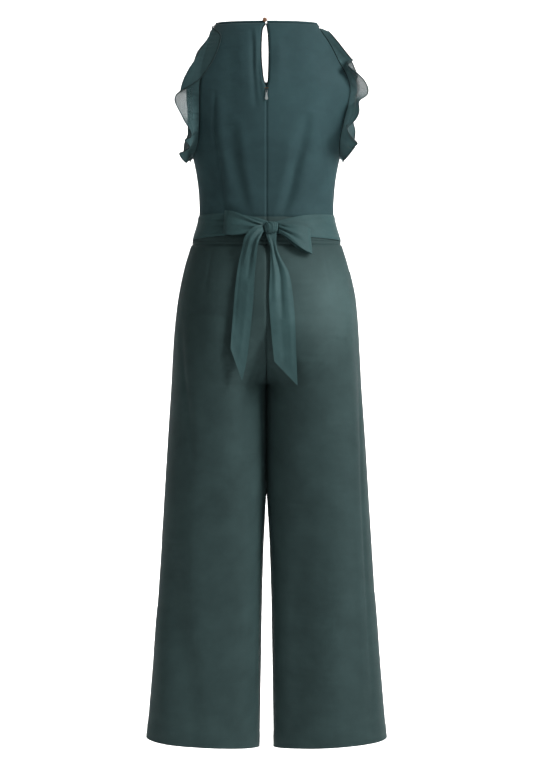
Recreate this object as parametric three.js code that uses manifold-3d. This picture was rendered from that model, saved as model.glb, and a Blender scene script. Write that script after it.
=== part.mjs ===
// Sleeveless jumpsuit with ruffled armholes, a keyhole back and a tied sash, filled out as if worn.
// Millimetres, +Z up. The garment's back faces -Y and the wearer's left side is at -X.
// The origin lies between the shoulder seams, where the wearer carries the garment.
import * as THREE from 'three';
import Module from 'manifold-3d';
import { mergeVertices } from 'three/addons/utils/BufferGeometryUtils.js';

// Cloth walls and the gap at seams
const CREPE = 1.2;
const CHIFFON = 1.0;
const SASH = 1.4;
const SEAM = 0.3;

// The worn form at each height: half width at the side seams, depth behind and before them,
// and how far the inseam stands from the middle
const FORM = [
  { z: 0, half: 101, back: 52, front: 34, inseam: 0 },
  { z: -12, half: 110, back: 60, front: 40, inseam: 0 },
  { z: -28, half: 124, back: 70, front: 48, inseam: 0 },
  { z: -58, half: 147, back: 86, front: 64, inseam: 0 },
  { z: -88, half: 170, back: 96, front: 78, inseam: 0 },
  { z: -115, half: 189, back: 101, front: 90, inseam: 0 },
  { z: -141, half: 196, back: 104, front: 99, inseam: 0 },
  { z: -168, half: 192, back: 103, front: 108, inseam: 0 },
  { z: -198, half: 181, back: 102, front: 118, inseam: 0 },
  { z: -225, half: 168, back: 100, front: 125, inseam: 0 },
  { z: -250, half: 156, back: 97, front: 128, inseam: 0 },
  { z: -278, half: 147, back: 93, front: 126, inseam: 0 },
  { z: -320, half: 139, back: 87, front: 116, inseam: 0 },
  { z: -366, half: 135, back: 82, front: 102, inseam: 0 },
  { z: -400, half: 136, back: 83, front: 97, inseam: 0 },
  { z: -430, half: 144, back: 91, front: 99, inseam: 0 },
  { z: -456, half: 153, back: 99, front: 103, inseam: 0 },
  { z: -500, half: 166, back: 112, front: 109, inseam: 0 },
  { z: -560, half: 178, back: 124, front: 114, inseam: 0 },
  { z: -620, half: 185, back: 128, front: 114, inseam: 0 },
  { z: -680, half: 189, back: 125, front: 111, inseam: 0 },
  { z: -730, half: 191.5, back: 118, front: 104, inseam: 0 },
  { z: -800, half: 196, back: 108, front: 94, inseam: 0 },
  { z: -870, half: 200.5, back: 101, front: 88, inseam: 0 },
  { z: -936, half: 204.6, back: 96, front: 84.6, inseam: 0.3 },
  { z: -985, half: 207.5, back: 93, front: 83, inseam: 3.2 },
  { z: -1070, half: 213, back: 87, front: 80, inseam: 7.5 },
  { z: -1180, half: 220, back: 81, front: 77, inseam: 11 },
  { z: -1280, half: 227, back: 77, front: 75, inseam: 12.5 },
  { z: -1380, half: 236, back: 73, front: 73, inseam: 14 },
  { z: -1470, half: 245, back: 70, front: 71, inseam: 15 },
];
// Below 1 the sections are a little squarer than ellipses
const ROUNDNESS = 0.92;

// Rows of the back panels from the neck to the waist: height at the middle and at the outer edge,
// and how far the row sweeps round the form, which is less than 90 degrees at the armhole. The
// garment is turned a little, so the left back panel sweeps less far than the right one.
const WAIST = -400;
const UNDERARM = -278;
const BACK_ROWS = [
  { v: 0.0, middle: -11, edge: -5, sweep: 90, leftSweep: 90 },
  { v: 0.03, middle: -20, edge: -12, sweep: 84, leftSweep: 80 },
  { v: 0.08, middle: -36, edge: -28, sweep: 69, leftSweep: 60 },
  { v: 0.16, middle: -60, edge: -58, sweep: 63, leftSweep: 52 },
  { v: 0.24, middle: -88, edge: -88, sweep: 58, leftSweep: 47 },
  { v: 0.31, middle: -112, edge: -115, sweep: 57, leftSweep: 43 },
  { v: 0.38, middle: -134, edge: -141, sweep: 58, leftSweep: 42 },
  { v: 0.45, middle: -148, edge: -168, sweep: 58, leftSweep: 43.5 },
  { v: 0.53, middle: -180, edge: -198, sweep: 59.5, leftSweep: 47 },
  { v: 0.6, middle: -212, edge: -225, sweep: 63, leftSweep: 52.5 },
  { v: 0.66, middle: -240, edge: -250, sweep: 69.5, leftSweep: 61 },
  { v: 0.7, middle: -262, edge: -267, sweep: 78, leftSweep: 72 },
  { v: 0.74, middle: -276, edge: UNDERARM, sweep: 90, leftSweep: 90 },
  { v: 0.83, middle: -318, edge: -318, sweep: 90, leftSweep: 90 },
  { v: 0.92, middle: -360, edge: -360, sweep: 90, leftSweep: 90 },
  { v: 1.0, middle: WAIST, edge: WAIST, sweep: 90, leftSweep: 90 },
];
const FRONT_ROWS = [
  { v: 0.0, middle: -110, edge: -5, sweep: 90 },
  { v: 0.03, middle: -118, edge: -12, sweep: 84 },
  { v: 0.08, middle: -130, edge: -28, sweep: 69 },
  { v: 0.16, middle: -146, edge: -58, sweep: 61 },
  { v: 0.24, middle: -162, edge: -88, sweep: 57 },
  { v: 0.31, middle: -177, edge: -115, sweep: 53 },
  { v: 0.38, middle: -192, edge: -141, sweep: 51 },
  { v: 0.45, middle: -207, edge: -168, sweep: 51.5 },
  { v: 0.53, middle: -224, edge: -198, sweep: 55 },
  { v: 0.6, middle: -240, edge: -225, sweep: 60 },
  { v: 0.66, middle: -256, edge: -250, sweep: 67.5 },
  { v: 0.7, middle: -268, edge: -267, sweep: 77 },
  { v: 0.74, middle: -278, edge: UNDERARM, sweep: 90 },
  { v: 0.83, middle: -318, edge: -318, sweep: 90 },
  { v: 0.92, middle: -360, edge: -360, sweep: 90 },
  { v: 1.0, middle: WAIST, edge: WAIST, sweep: 90 },
];
const NECK_BLEND = 0.12;
const BACK_COLUMNS = 10;
const FRONT_COLUMNS = 22;

// Height at which the seat is fullest; the tails of the sash leave the form a little below it and
// hang straight
const FULLEST = -620;
const HANG = { above: 40, over: 60 };

// How far the keyhole opens to each side of the middle seam; it closes under the button and again
// above the zip
const KEYHOLE = [
  { z: -8, left: 0, right: 0 },
  { z: -20, left: 8, right: 2.4 },
  { z: -36, left: 10.6, right: 4.4 },
  { z: -60, left: 11.6, right: 5.6 },
  { z: -88, left: 11.4, right: 5.8 },
  { z: -112, left: 9.4, right: 5.2 },
  { z: -134, left: 6.4, right: 4.2 },
  { z: -148, left: 0, right: 0 },
];

// Rolled neck binding
const BINDING_HEIGHT = 5;
const BINDING_DEPTH = 3;
const BINDING_SIDES = 8;
const BINDING_GAP = 1.1;
// The binding's last rings take their turn from this far inside its ends
const END_INSET = 0.03;

// Ruffles, set out along the armhole from the underarm behind, over the shoulder and down to the
// underarm in front. base and angle are the strip's directions at its seam and at its hem, in degrees
// from straight out sideways, above 0 towards the middle of the armhole; lay is how far that stretch
// is turned back onto the bodice, and fold how far out it goes before it turns.
const RUFFLE_RIGHT = [
  { at: 0.0, width: 6, base: 0, angle: -10, lay: 0, fold: 0 },
  { at: 0.025, width: 15, base: 0, angle: -20, lay: 0, fold: 0 },
  { at: 0.05, width: 25, base: -6, angle: -20, lay: 0, fold: 0 },
  { at: 0.068, width: 30, base: -10, angle: -34, lay: 0, fold: 0 },
  { at: 0.085, width: 38, base: -10, angle: -32, lay: 0, fold: 0 },
  { at: 0.105, width: 42, base: -20, angle: -66, lay: 0, fold: 0 },
  { at: 0.125, width: 42, base: -20, angle: -82, lay: 0, fold: 0 },
  { at: 0.15, width: 38, base: -10, angle: -62, lay: 0, fold: 0 },
  { at: 0.175, width: 33, base: 0, angle: -47, lay: 0, fold: 0 },
  { at: 0.205, width: 31, base: 0, angle: -52, lay: 0, fold: 0 },
  { at: 0.23, width: 36, base: 0, angle: -14, lay: 0, fold: 0 },
  { at: 0.252, width: 33, base: 0, angle: -28, lay: 0, fold: 0 },
  { at: 0.272, width: 28, base: 0, angle: -45, lay: 0, fold: 0 },
  { at: 0.288, width: 25, base: -10, angle: -60, lay: 0, fold: 0 },
  { at: 0.3, width: 28, base: -20, angle: -66, lay: 0, fold: 0 },
  { at: 0.316, width: 28, base: 0, angle: -8, lay: 0, fold: 0 },
  { at: 0.35, width: 23, base: 0, angle: -14, lay: 0, fold: 0 },
  { at: 0.4, width: 18, base: 0, angle: -10, lay: 0, fold: 0 },
  { at: 0.44, width: 16, base: 0, angle: -4, lay: 0, fold: 0 },
  { at: 0.475, width: 18, base: 8, angle: 22, lay: 0, fold: 0 },
  { at: 0.5, width: 19, base: 24, angle: 46, lay: 0, fold: 0 },
  { at: 0.53, width: 19, base: 20, angle: 40, lay: 0, fold: 0 },
  { at: 0.56, width: 23, base: 10, angle: 20, lay: 0, fold: 0 },
  { at: 0.6, width: 33, base: 0, angle: -10, lay: 0, fold: 0 },
  { at: 0.63, width: 38, base: 0, angle: -15, lay: 0, fold: 0 },
  { at: 0.66, width: 40, base: 0, angle: -16, lay: 0, fold: 0 },
  { at: 0.688, width: 41, base: 0, angle: -22, lay: 0, fold: 0 },
  { at: 0.712, width: 40, base: 0, angle: -58, lay: 0, fold: 0 },
  { at: 0.75, width: 40, base: 0, angle: -50, lay: 0, fold: 0 },
  { at: 0.775, width: 43, base: 0, angle: -20, lay: 0, fold: 0 },
  { at: 0.8, width: 40, base: 0, angle: -40, lay: 0, fold: 0 },
  { at: 0.83, width: 40, base: 0, angle: -28, lay: 0, fold: 0 },
  { at: 0.86, width: 40, base: 0, angle: -28, lay: 0, fold: 0 },
  { at: 0.885, width: 37, base: 0, angle: -10, lay: 0, fold: 0 },
  { at: 0.91, width: 28, base: 0, angle: -20, lay: 0, fold: 0 },
  { at: 0.94, width: 15, base: 0, angle: 0, lay: 0, fold: 0 },
  { at: 1.0, width: 6, base: 0, angle: -8, lay: 0, fold: 0 },
];
const RUFFLE_LEFT = [
  { at: 0.0, width: 6, base: 0, angle: -10, lay: 0, fold: 0 },
  { at: 0.028, width: 21, base: -10, angle: -44, lay: 0, fold: 0 },
  { at: 0.052, width: 37, base: -10, angle: -26, lay: 0, fold: 0 },
  { at: 0.078, width: 40, base: -30, angle: -52, lay: 0, fold: 0 },
  { at: 0.093, width: 38, base: -30, angle: -64, lay: 0, fold: 0 },
  { at: 0.106, width: 38, base: -20, angle: -46, lay: 0, fold: 0 },
  { at: 0.118, width: 38, base: -30, angle: -66, lay: 0, fold: 0 },
  { at: 0.135, width: 40, base: -20, angle: -66, lay: 0, fold: 0 },
  { at: 0.157, width: 42, base: -6, angle: -50, lay: 0, fold: 0 },
  { at: 0.182, width: 44, base: 0, angle: -32, lay: 0, fold: 0 },
  { at: 0.205, width: 48, base: 10, angle: -16, lay: 0, fold: 0 },
  { at: 0.228, width: 50, base: 10, angle: 6, lay: 0.1, fold: 36 },
  { at: 0.244, width: 58, base: 10, angle: 0, lay: 0.85, fold: 40 },
  { at: 0.265, width: 70, base: 0, angle: -60, lay: 1, fold: 37 },
  { at: 0.29, width: 74, base: 0, angle: -90, lay: 1, fold: 31 },
  { at: 0.325, width: 67, base: 0, angle: -90, lay: 1, fold: 21 },
  { at: 0.36, width: 60, base: 0, angle: -90, lay: 1, fold: 15 },
  { at: 0.4, width: 49, base: 0, angle: -90, lay: 1, fold: 9 },
  { at: 0.435, width: 36, base: 0, angle: -90, lay: 1, fold: 5 },
  { at: 0.458, width: 21, base: 0, angle: -40, lay: 1, fold: 3 },
  { at: 0.48, width: 8, base: 0, angle: -40, lay: 0.6, fold: 2 },
  { at: 0.5, width: 7, base: 0, angle: -30, lay: 0, fold: 0 },
  { at: 0.52, width: 8, base: 0, angle: -40, lay: 0, fold: 0 },
  { at: 0.545, width: 12, base: 0, angle: -58, lay: 0, fold: 0 },
  { at: 0.575, width: 22, base: 0, angle: -66, lay: 0, fold: 0 },
  { at: 0.61, width: 34, base: 0, angle: -66, lay: 0, fold: 0 },
  { at: 0.65, width: 38, base: 0, angle: -70, lay: 0, fold: 0 },
  { at: 0.69, width: 40, base: 0, angle: -64, lay: 0, fold: 0 },
  { at: 0.71, width: 42, base: 0, angle: -86, lay: 0, fold: 0 },
  { at: 0.75, width: 44, base: 0, angle: -84, lay: 0, fold: 0 },
  { at: 0.785, width: 44, base: 0, angle: -86, lay: 0, fold: 0 },
  { at: 0.82, width: 42, base: 0, angle: -70, lay: 0, fold: 0 },
  { at: 0.84, width: 42, base: 0, angle: -68, lay: 0, fold: 0 },
  { at: 0.86, width: 42, base: 0, angle: -56, lay: 0, fold: 0 },
  { at: 0.885, width: 37, base: 0, angle: -46, lay: 0, fold: 0 },
  { at: 0.92, width: 25, base: 0, angle: -26, lay: 0, fold: 0 },
  { at: 0.96, width: 10, base: 0, angle: -10, lay: 0, fold: 0 },
  { at: 1.0, width: 6, base: 0, angle: -8, lay: 0, fold: 0 },
];
const RUFFLE_STEPS = 88;
const RUFFLE_DROOP = 6;
// Places across a ruffle from its seam to its hem, as shares of the width
const RUFFLE_ACROSS = [0, 0.12, 0.26, 0.4, 0.54, 0.68, 0.84, 1];
// Share of the width within which a strip has reached the direction of its hem
const RUFFLE_TURN = 1 / 1.3;
// A turned back strip: rounding of its fold, its height over the bodice at the fold and at the hem,
// the share of its width over which it rises to that height, and its smallest fold
const TURNED = { rounding: 3, atFold: 4.6, atHem: 3.45, rise: 0.16, least: 2.5 };
// Length of a bodice row round the form as a multiple of the straight line between its ends
const ROW_BULGE = 1.12;
// The armhole line: places on each of its two sides, how many places its direction is taken over,
// and how far from the side seam the ruffle begins and ends
const ARMHOLE = { places: 120, reach: 3, margin: 9 };

// Waistband below the waist seam and the trousers below it
const BAND_MIDDLE = -456;
const BAND_SIDE = -449;
const HEM_INNER = -1466;
const HEM_OUTER = -1446;
const CROTCH = -730;
const CROTCH_CURVE = { back: { top: -600, length: 195 }, front: { top: -630, length: 162 } };

// Sash: the band round the waist, the knot and the bow
const KNOT = { x: 9, z: -424, halfWidth: 14.5, halfDepth: 9.5, halfHeight: 12.5 };
const BELT_OFF = 1.1;
const BELT_ROWS = [
  { turn: 0, top: -414, bottom: -434 },
  { turn: 0.04, top: -404, bottom: -438 },
  { turn: 0.09, top: -396, bottom: -441 },
  { turn: 0.2, top: -392, bottom: -443 },
  { turn: 0.5, top: -396, bottom: -446 },
  { turn: 0.8, top: -392, bottom: -441 },
  { turn: 0.91, top: -394, bottom: -437 },
  { turn: 0.96, top: -401, bottom: -434 },
  { turn: 1, top: -412, bottom: -432 },
];
// One round trip of a bow loop: how far out it is, and how far it stands off the belt
const LOOP_ROWS = [
  { s: 0, reach: 0, stand: 13 },
  { s: 0.12, reach: 0.2, stand: 17 },
  { s: 0.28, reach: 0.58, stand: 19 },
  { s: 0.4, reach: 0.88, stand: 17 },
  { s: 0.46, reach: 0.975, stand: 14 },
  { s: 0.5, reach: 1, stand: 10.5 },
  { s: 0.54, reach: 0.975, stand: 7 },
  { s: 0.6, reach: 0.88, stand: 4.6 },
  { s: 0.72, reach: 0.58, stand: 4.2 },
  { s: 0.88, reach: 0.2, stand: 4.6 },
  { s: 1, reach: 0, stand: 5 },
];
const LOOP_LEFT = { endX: -84, endZ: -411, knotHeight: 20, endHeight: 48, slant: 3 };
const LOOP_RIGHT = { endX: 88, endZ: -450, knotHeight: 20, endHeight: 50, slant: -4 };
// Rows of each hanging tail: its two edges and how far it stands off the form
const TAIL_LEFT = [
  { v: 0, leftX: -5.9, leftZ: -417, rightX: -5.7, rightZ: -430, stand: 15.5 },
  { v: 0.04, leftX: -26, leftZ: -424, rightX: -10, rightZ: -441, stand: 24 },
  { v: 0.09, leftX: -42, leftZ: -442, rightX: -15, rightZ: -453, stand: 25 },
  { v: 0.14, leftX: -47, leftZ: -460, rightX: -18, rightZ: -470, stand: 17 },
  { v: 0.28, leftX: -56, leftZ: -501, rightX: -22.5, rightZ: -511, stand: 5 },
  { v: 0.45, leftX: -62, leftZ: -550, rightX: -25.5, rightZ: -562, stand: 4 },
  { v: 0.65, leftX: -66, leftZ: -601, rightX: -31, rightZ: -622, stand: 4 },
  { v: 0.85, leftX: -69, leftZ: -640, rightX: -38, rightZ: -680, stand: 6 },
  { v: 1, leftX: -70, leftZ: -664, rightX: -47.5, rightZ: -726, stand: 9 },
];
const TAIL_RIGHT = [
  { v: 0, leftX: 4, leftZ: -437.1, rightX: 16, rightZ: -437.1, stand: 11.5 },
  { v: 0.08, leftX: 13, leftZ: -463, rightX: 25, rightZ: -463, stand: 8 },
  { v: 0.14, leftX: 12.5, leftZ: -479, rightX: 32, rightZ: -479, stand: 6 },
  { v: 0.27, leftX: 7, leftZ: -514, rightX: 44, rightZ: -514, stand: 4.5 },
  { v: 0.45, leftX: 5, leftZ: -558, rightX: 52, rightZ: -562, stand: 4 },
  { v: 0.62, leftX: 7, leftZ: -600, rightX: 56, rightZ: -610, stand: 4 },
  { v: 0.82, leftX: 11, leftZ: -648, rightX: 58, rightZ: -668, stand: 6 },
  { v: 1, leftX: 15, leftZ: -688, rightX: 60.5, rightZ: -735, stand: 9 },
];

// Button and its loop above the keyhole, hook bar below it
const BUTTON = {
  x: -3.5, y: -58.2, z: -5, radius: 4.6, thickness: 2.6, bevel: 0.6, crown: 1.8, shank: 1.7, shankRadius: 1.5,
};
const BUTTON_LOOP = { reach: 4.4, halfHeight: 2.4, cord: 0.5 };
const HOOK_BAR = { z: -148.6, width: 8, depth: 1, height: 2 };

// Zip slider with the eye that its pull hangs in, and the pull with the hole round that eye
const SLIDER = { top: -150.4, length: 9.6, width: 5, plate: 1.2 };
const EYE = { z: -154.6, halfWidth: 0.9, halfLength: 2.6, inside: 1.5, wall: 0.8 };
const PULL = {
  length: 18, thickness: 0.8, halfWidth: 3, neck: 1.4, arm: 2.1, hole: 1.25, clear: 3.6, bar: 0.45,
};

// Materials
function cloth(color, roughness) {
  return new THREE.MeshStandardMaterial({ color, roughness, metalness: 0, side: THREE.DoubleSide });
}
const crepe = cloth(0x2f4547, 0.72);
const bodiceCloth = cloth(0x2c4142, 0.82);
const ruffleCloth = cloth(0x3f5152, 0.85);
const sashCloth = cloth(0x35504f, 0.55);
const brass = new THREE.MeshStandardMaterial({ color: 0x7a5a3c, roughness: 0.35, metalness: 0.8 });
const enamel = new THREE.MeshStandardMaterial({ color: 0x3a4f50, roughness: 0.3, metalness: 0.5 });
const copperButton = new THREE.MeshStandardMaterial({ color: 0x6b4a37, roughness: 0.35, metalness: 0.2 });

const wasm = await Module();
wasm.setup();

const radians = THREE.MathUtils.degToRad;
const mix = THREE.MathUtils.lerp;
const ease = (t) => THREE.MathUtils.smoothstep(t, 0, 1);

// A smooth curve through one column of a table
function profile(rows, at, value) {
  const knots = rows.map((row) => row[at]);
  const values = rows.map((row) => row[value]);
  const last = knots.length - 1;
  const sign = Math.sign(knots[last] - knots[0]);
  const slopes = values.map((_, i) => {
    const a = Math.max(i - 1, 0);
    const b = Math.min(i + 1, last);
    return (values[b] - values[a]) / (knots[b] - knots[a]);
  });
  return (t) => {
    let i = 0;
    while (i < last - 1 && (t - knots[i + 1]) * sign > 0) i += 1;
    const span = knots[i + 1] - knots[i];
    const s = THREE.MathUtils.clamp((t - knots[i]) / span, 0, 1);
    const rise = values[i + 1] - values[i];
    const bend = (1 - s) * (slopes[i] * span - rise) - s * (slopes[i + 1] * span - rise);
    return values[i] + rise * s + s * (1 - s) * bend;
  };
}

const halfWidth = profile(FORM, 'z', 'half');
const depth = { back: profile(FORM, 'z', 'back'), front: profile(FORM, 'z', 'front') };
const inseam = profile(FORM, 'z', 'inseam');

// A point of the worn form. angle is 0 at the middle and 90 degrees at the side seam; start is the
// row's first angle, 0 on the body and -90 degrees on a leg, where the row begins at the inseam.
function formPoint(angle, z, side, face, start = 0) {
  const inner = Math.max(inseam(z), 0);
  const reach = (halfWidth(z) - inner) / (1 - Math.sin(start));
  const x = halfWidth(z) - reach * (1 - Math.sin(angle));
  const cosine = Math.cos(angle);
  const y = depth[face](z) * Math.sign(cosine) * Math.abs(cosine) ** ROUNDNESS;
  return new THREE.Vector3(side * x, face === 'back' ? -y : y, z);
}

// Depth of the form behind the point x, z
function backSurface(x, z) {
  const sine = THREE.MathUtils.clamp(x / halfWidth(z), -1, 1);
  return -depth.back(z) * (1 - sine * sine) ** (ROUNDNESS / 2);
}

// Derivatives of a surface by small steps that stay inside its edges
function slopes(surface, u, v) {
  const step = 1e-3;
  const u0 = Math.max(u - step, 0);
  const u1 = Math.min(u + step, 1);
  const v0 = Math.max(v - step, 0);
  const v1 = Math.min(v + step, 1);
  const du = surface(u1, v).sub(surface(u0, v)).normalize();
  const dv = surface(u, v1).sub(surface(u, v0)).normalize();
  return { du, dv, normal: new THREE.Vector3().crossVectors(du, dv).normalize() };
}

function steps(count) {
  return Array.from({ length: count + 1 }, (_, i) => i / count);
}

// One closed body between an outer and an inner grid of points
function slab(outer, inner) {
  const rows = outer.length;
  const columns = outer[0].length;
  const positions = [...outer.flat(), ...inner.flat()].flatMap((p) => [p.x, p.y, p.z]);
  const near = (i, j) => i * columns + j;
  const far = (i, j) => rows * columns + i * columns + j;
  const index = [];
  const quad = (a, b, c, d) => index.push(a, b, c, a, c, d);
  for (let i = 0; i < rows - 1; i += 1) {
    for (let j = 0; j < columns - 1; j += 1) {
      quad(near(i, j), near(i, j + 1), near(i + 1, j + 1), near(i + 1, j));
      quad(far(i, j), far(i + 1, j), far(i + 1, j + 1), far(i, j + 1));
    }
  }
  for (let j = 0; j < columns - 1; j += 1) {
    quad(near(0, j + 1), near(0, j), far(0, j), far(0, j + 1));
    quad(near(rows - 1, j), near(rows - 1, j + 1), far(rows - 1, j + 1), far(rows - 1, j));
  }
  for (let i = 0; i < rows - 1; i += 1) {
    quad(near(i, 0), near(i + 1, 0), far(i + 1, 0), far(i, 0));
    quad(near(i + 1, columns - 1), near(i, columns - 1), far(i, columns - 1), far(i + 1, columns - 1));
  }
  return closedGeometry(positions, index);
}

// A geometry whose faces point out, turned over where they point in
function closedGeometry(positions, index) {
  let volume = 0;
  const corner = (k) => new THREE.Vector3().fromArray(positions, 3 * index[k]);
  for (let k = 0; k < index.length; k += 3) {
    volume += corner(k).dot(corner(k + 1).cross(corner(k + 2)));
  }
  if (volume < 0) index.reverse();
  const geometry = new THREE.BufferGeometry();
  geometry.setAttribute('position', new THREE.Float32BufferAttribute(positions, 3));
  geometry.setIndex(index);
  geometry.computeVertexNormals();
  return geometry;
}

// Cloth on a surface: its outer face lies out from the surface and its wall goes inwards from there
function clothWall(surface, us, vs, wall, outwards, out = 0) {
  const outer = [];
  const inner = [];
  for (const v of vs) {
    const frames = us.map((u) => {
      const normal = slopes(surface, u, v).normal;
      const point = surface(u, v);
      return { point, normal: normal.multiplyScalar(outwards(normal, point) < 0 ? -1 : 1) };
    });
    outer.push(frames.map((f) => f.point.clone().addScaledVector(f.normal, out)));
    inner.push(frames.map((f) => f.point.clone().addScaledVector(f.normal, out - wall)));
  }
  return slab(outer, inner);
}

// Away from the upright line through the middle of the body, or of one leg
const fromMiddle = (normal, point) => normal.x * point.x + normal.y * point.y;
const fromLeg = (side) => (normal, point) => {
  const middle = point.z < CROTCH ? side * (halfWidth(point.z) + inseam(point.z)) / 2 : 0;
  return normal.x * (point.x - middle) + normal.y * point.y;
};

// Bodice panels
function bodiceSurface(side, face) {
  const rows = face === 'back' ? BACK_ROWS : FRONT_ROWS;
  const middle = profile(rows, 'v', 'middle');
  const edge = profile(rows, 'v', 'edge');
  const sweep = profile(rows, 'v', face === 'back' && side < 0 ? 'leftSweep' : 'sweep');
  const neckHalf = halfWidth(edge(0));
  const keyhole = profile(KEYHOLE, 'z', side < 0 ? 'left' : 'right');
  const seam = face === 'back' ? -SEAM / 2 : SEAM / 2;
  return (u, v) => {
    const quarter = u * Math.PI / 2;
    const z = mix(edge(v), middle(v), Math.cos(quarter));
    const neckAngle = Math.asin(Math.min(neckHalf * Math.sin(quarter) / halfWidth(z), 1));
    const angle = mix(neckAngle, u * radians(sweep(v)), ease(v / NECK_BLEND));
    const point = formPoint(angle, z, side, face);
    const opening = face === 'back' ? keyhole(z) * (1 - u) ** 4 + SEAM / 2 : 0;
    return point.add(new THREE.Vector3(side * opening, seam, SEAM));
  };
}

// Both halves of the front as one surface, u from -1 to 1 mapped to 0 to 1
function frontSurface() {
  const left = bodiceSurface(-1, 'front');
  const right = bodiceSurface(1, 'front');
  return (u, v) => (u < 0.5 ? left(1 - 2 * u, v) : right(2 * u - 1, v));
}

function bodice() {
  const panels = [];
  const rows = BACK_ROWS.map((row) => row.v);
  for (const [name, side] of [['left', -1], ['right', 1]]) {
    const geometry = clothWall(bodiceSurface(side, 'back'), steps(BACK_COLUMNS), rows, CREPE, fromMiddle);
    panels.push(piece(`bodice_back_${name}`, geometry, bodiceCloth));
  }
  const front = clothWall(frontSurface(), steps(FRONT_COLUMNS), rows, CREPE, fromMiddle);
  panels.push(piece('bodice_front', front, bodiceCloth));
  return panels;
}

// A rolled edge along the top of a bodice panel, squared off on the plane where it meets its neighbour
function binding(surface, us, ends) {
  const rings = us.map((u) => {
    const { du, dv, normal } = slopes(surface, THREE.MathUtils.clamp(u, END_INSET, 1 - END_INSET), 0);
    const point = surface(u, 0);
    const up = dv.negate();
    up.addScaledVector(du, -up.dot(du)).normalize();
    const out = normal.multiplyScalar(fromMiddle(normal, point) < 0 ? -1 : 1);
    for (const [place, axis] of ends) {
      if (u !== place) continue;
      up[axis] = 0;
      out[axis] = 0;
      up.normalize();
      out.addScaledVector(up, -up.dot(out)).normalize();
    }
    const centre = point.addScaledVector(up, BINDING_HEIGHT / 2 + BINDING_GAP);
    centre.addScaledVector(out, -CREPE / 2);
    return Array.from({ length: BINDING_SIDES }, (_, k) => {
      const turn = (2 * Math.PI * k) / BINDING_SIDES;
      return centre.clone().addScaledVector(up, Math.cos(turn) * BINDING_HEIGHT / 2)
        .addScaledVector(out, Math.sin(turn) * BINDING_DEPTH / 2);
    });
  });
  return tube(rings);
}

// A closed body through rings of points, with flat ends
function tube(rings) {
  const sides = rings[0].length;
  const positions = rings.flat().flatMap((p) => [p.x, p.y, p.z]);
  const index = [];
  const at = (i, k) => i * sides + (k % sides);
  for (let i = 0; i < rings.length - 1; i += 1) {
    for (let k = 0; k < sides; k += 1) {
      index.push(at(i, k), at(i, k + 1), at(i + 1, k + 1));
      index.push(at(i, k), at(i + 1, k + 1), at(i + 1, k));
    }
  }
  const end = rings.length - 1;
  for (let k = 1; k < sides - 1; k += 1) {
    index.push(at(0, 0), at(0, k + 1), at(0, k));
    index.push(at(end, 0), at(end, k), at(end, k + 1));
  }
  return closedGeometry(positions, index);
}

function neckBindings() {
  const along = steps(BACK_COLUMNS);
  const left = binding(bodiceSurface(-1, 'back'), along, [[0, 'x'], [1, 'y']]);
  const right = binding(bodiceSurface(1, 'back'), along, [[0, 'x'], [1, 'y']]);
  const front = binding(frontSurface(), steps(FRONT_COLUMNS), [[0, 'y'], [1, 'y']]);
  return [
    piece('neck_binding_back_left', left, bodiceCloth),
    piece('neck_binding_back_right', right, bodiceCloth),
    piece('neck_binding_front', front, bodiceCloth),
  ];
}

// Places along the armhole, each with its point, the way along it and the bodice surface it is on
function armholePath(side) {
  const top = BACK_ROWS[1].v;
  const bottom = profile(BACK_ROWS, 'edge', 'v')(UNDERARM);
  const places = [];
  for (const face of ['back', 'front']) {
    const surface = bodiceSurface(side, face);
    for (const share of steps(ARMHOLE.places)) {
      const v = face === 'back' ? mix(bottom, top, share) : mix(top, bottom, share);
      places.push({ surface, v, point: surface(1, v) });
    }
  }
  const last = places.length - 1;
  let length = 0;
  places.forEach((place, i) => {
    if (i > 0) length += place.point.distanceTo(places[i - 1].point);
    place.length = length;
    const ahead = places[Math.min(i + ARMHOLE.reach, last)].point;
    const behind = places[Math.max(i - ARMHOLE.reach, 0)].point;
    place.along = ahead.clone().sub(behind).normalize();
  });
  return (share) => {
    const target = mix(ARMHOLE.margin, length - ARMHOLE.margin, share);
    return places.find((place) => place.length >= target) ?? places[last];
  };
}

// A strip that goes out from its seam to a fold and comes back over the bodice
function turnedBack({ surface, v }, out, width, fold, share) {
  const rowLength = surface(0, v).distanceTo(surface(1, v)) * ROW_BULGE;
  const crest = fold / width;
  const start = SEAM + CHIFFON;
  const going = mix(start, fold, share / crest);
  const coming = fold - width * (share - crest);
  const lateral = (going + coming - Math.hypot(going - coming, TURNED.rounding)) / 2;
  const u = 1 + Math.min(lateral, 0) / rowLength;
  const point = surface(u, v);
  const { du, normal } = slopes(surface, u, v);
  if (fromMiddle(normal, point) < 0) normal.negate();
  const beyond = du.multiplyScalar(0.4).addScaledVector(out, 0.6).normalize();
  const risen = ease((share - crest) / TURNED.rise + 0.5);
  const height = risen * mix(TURNED.atFold, TURNED.atHem, share);
  return point.addScaledVector(beyond, Math.max(lateral, 0)).addScaledVector(normal, height);
}

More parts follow.
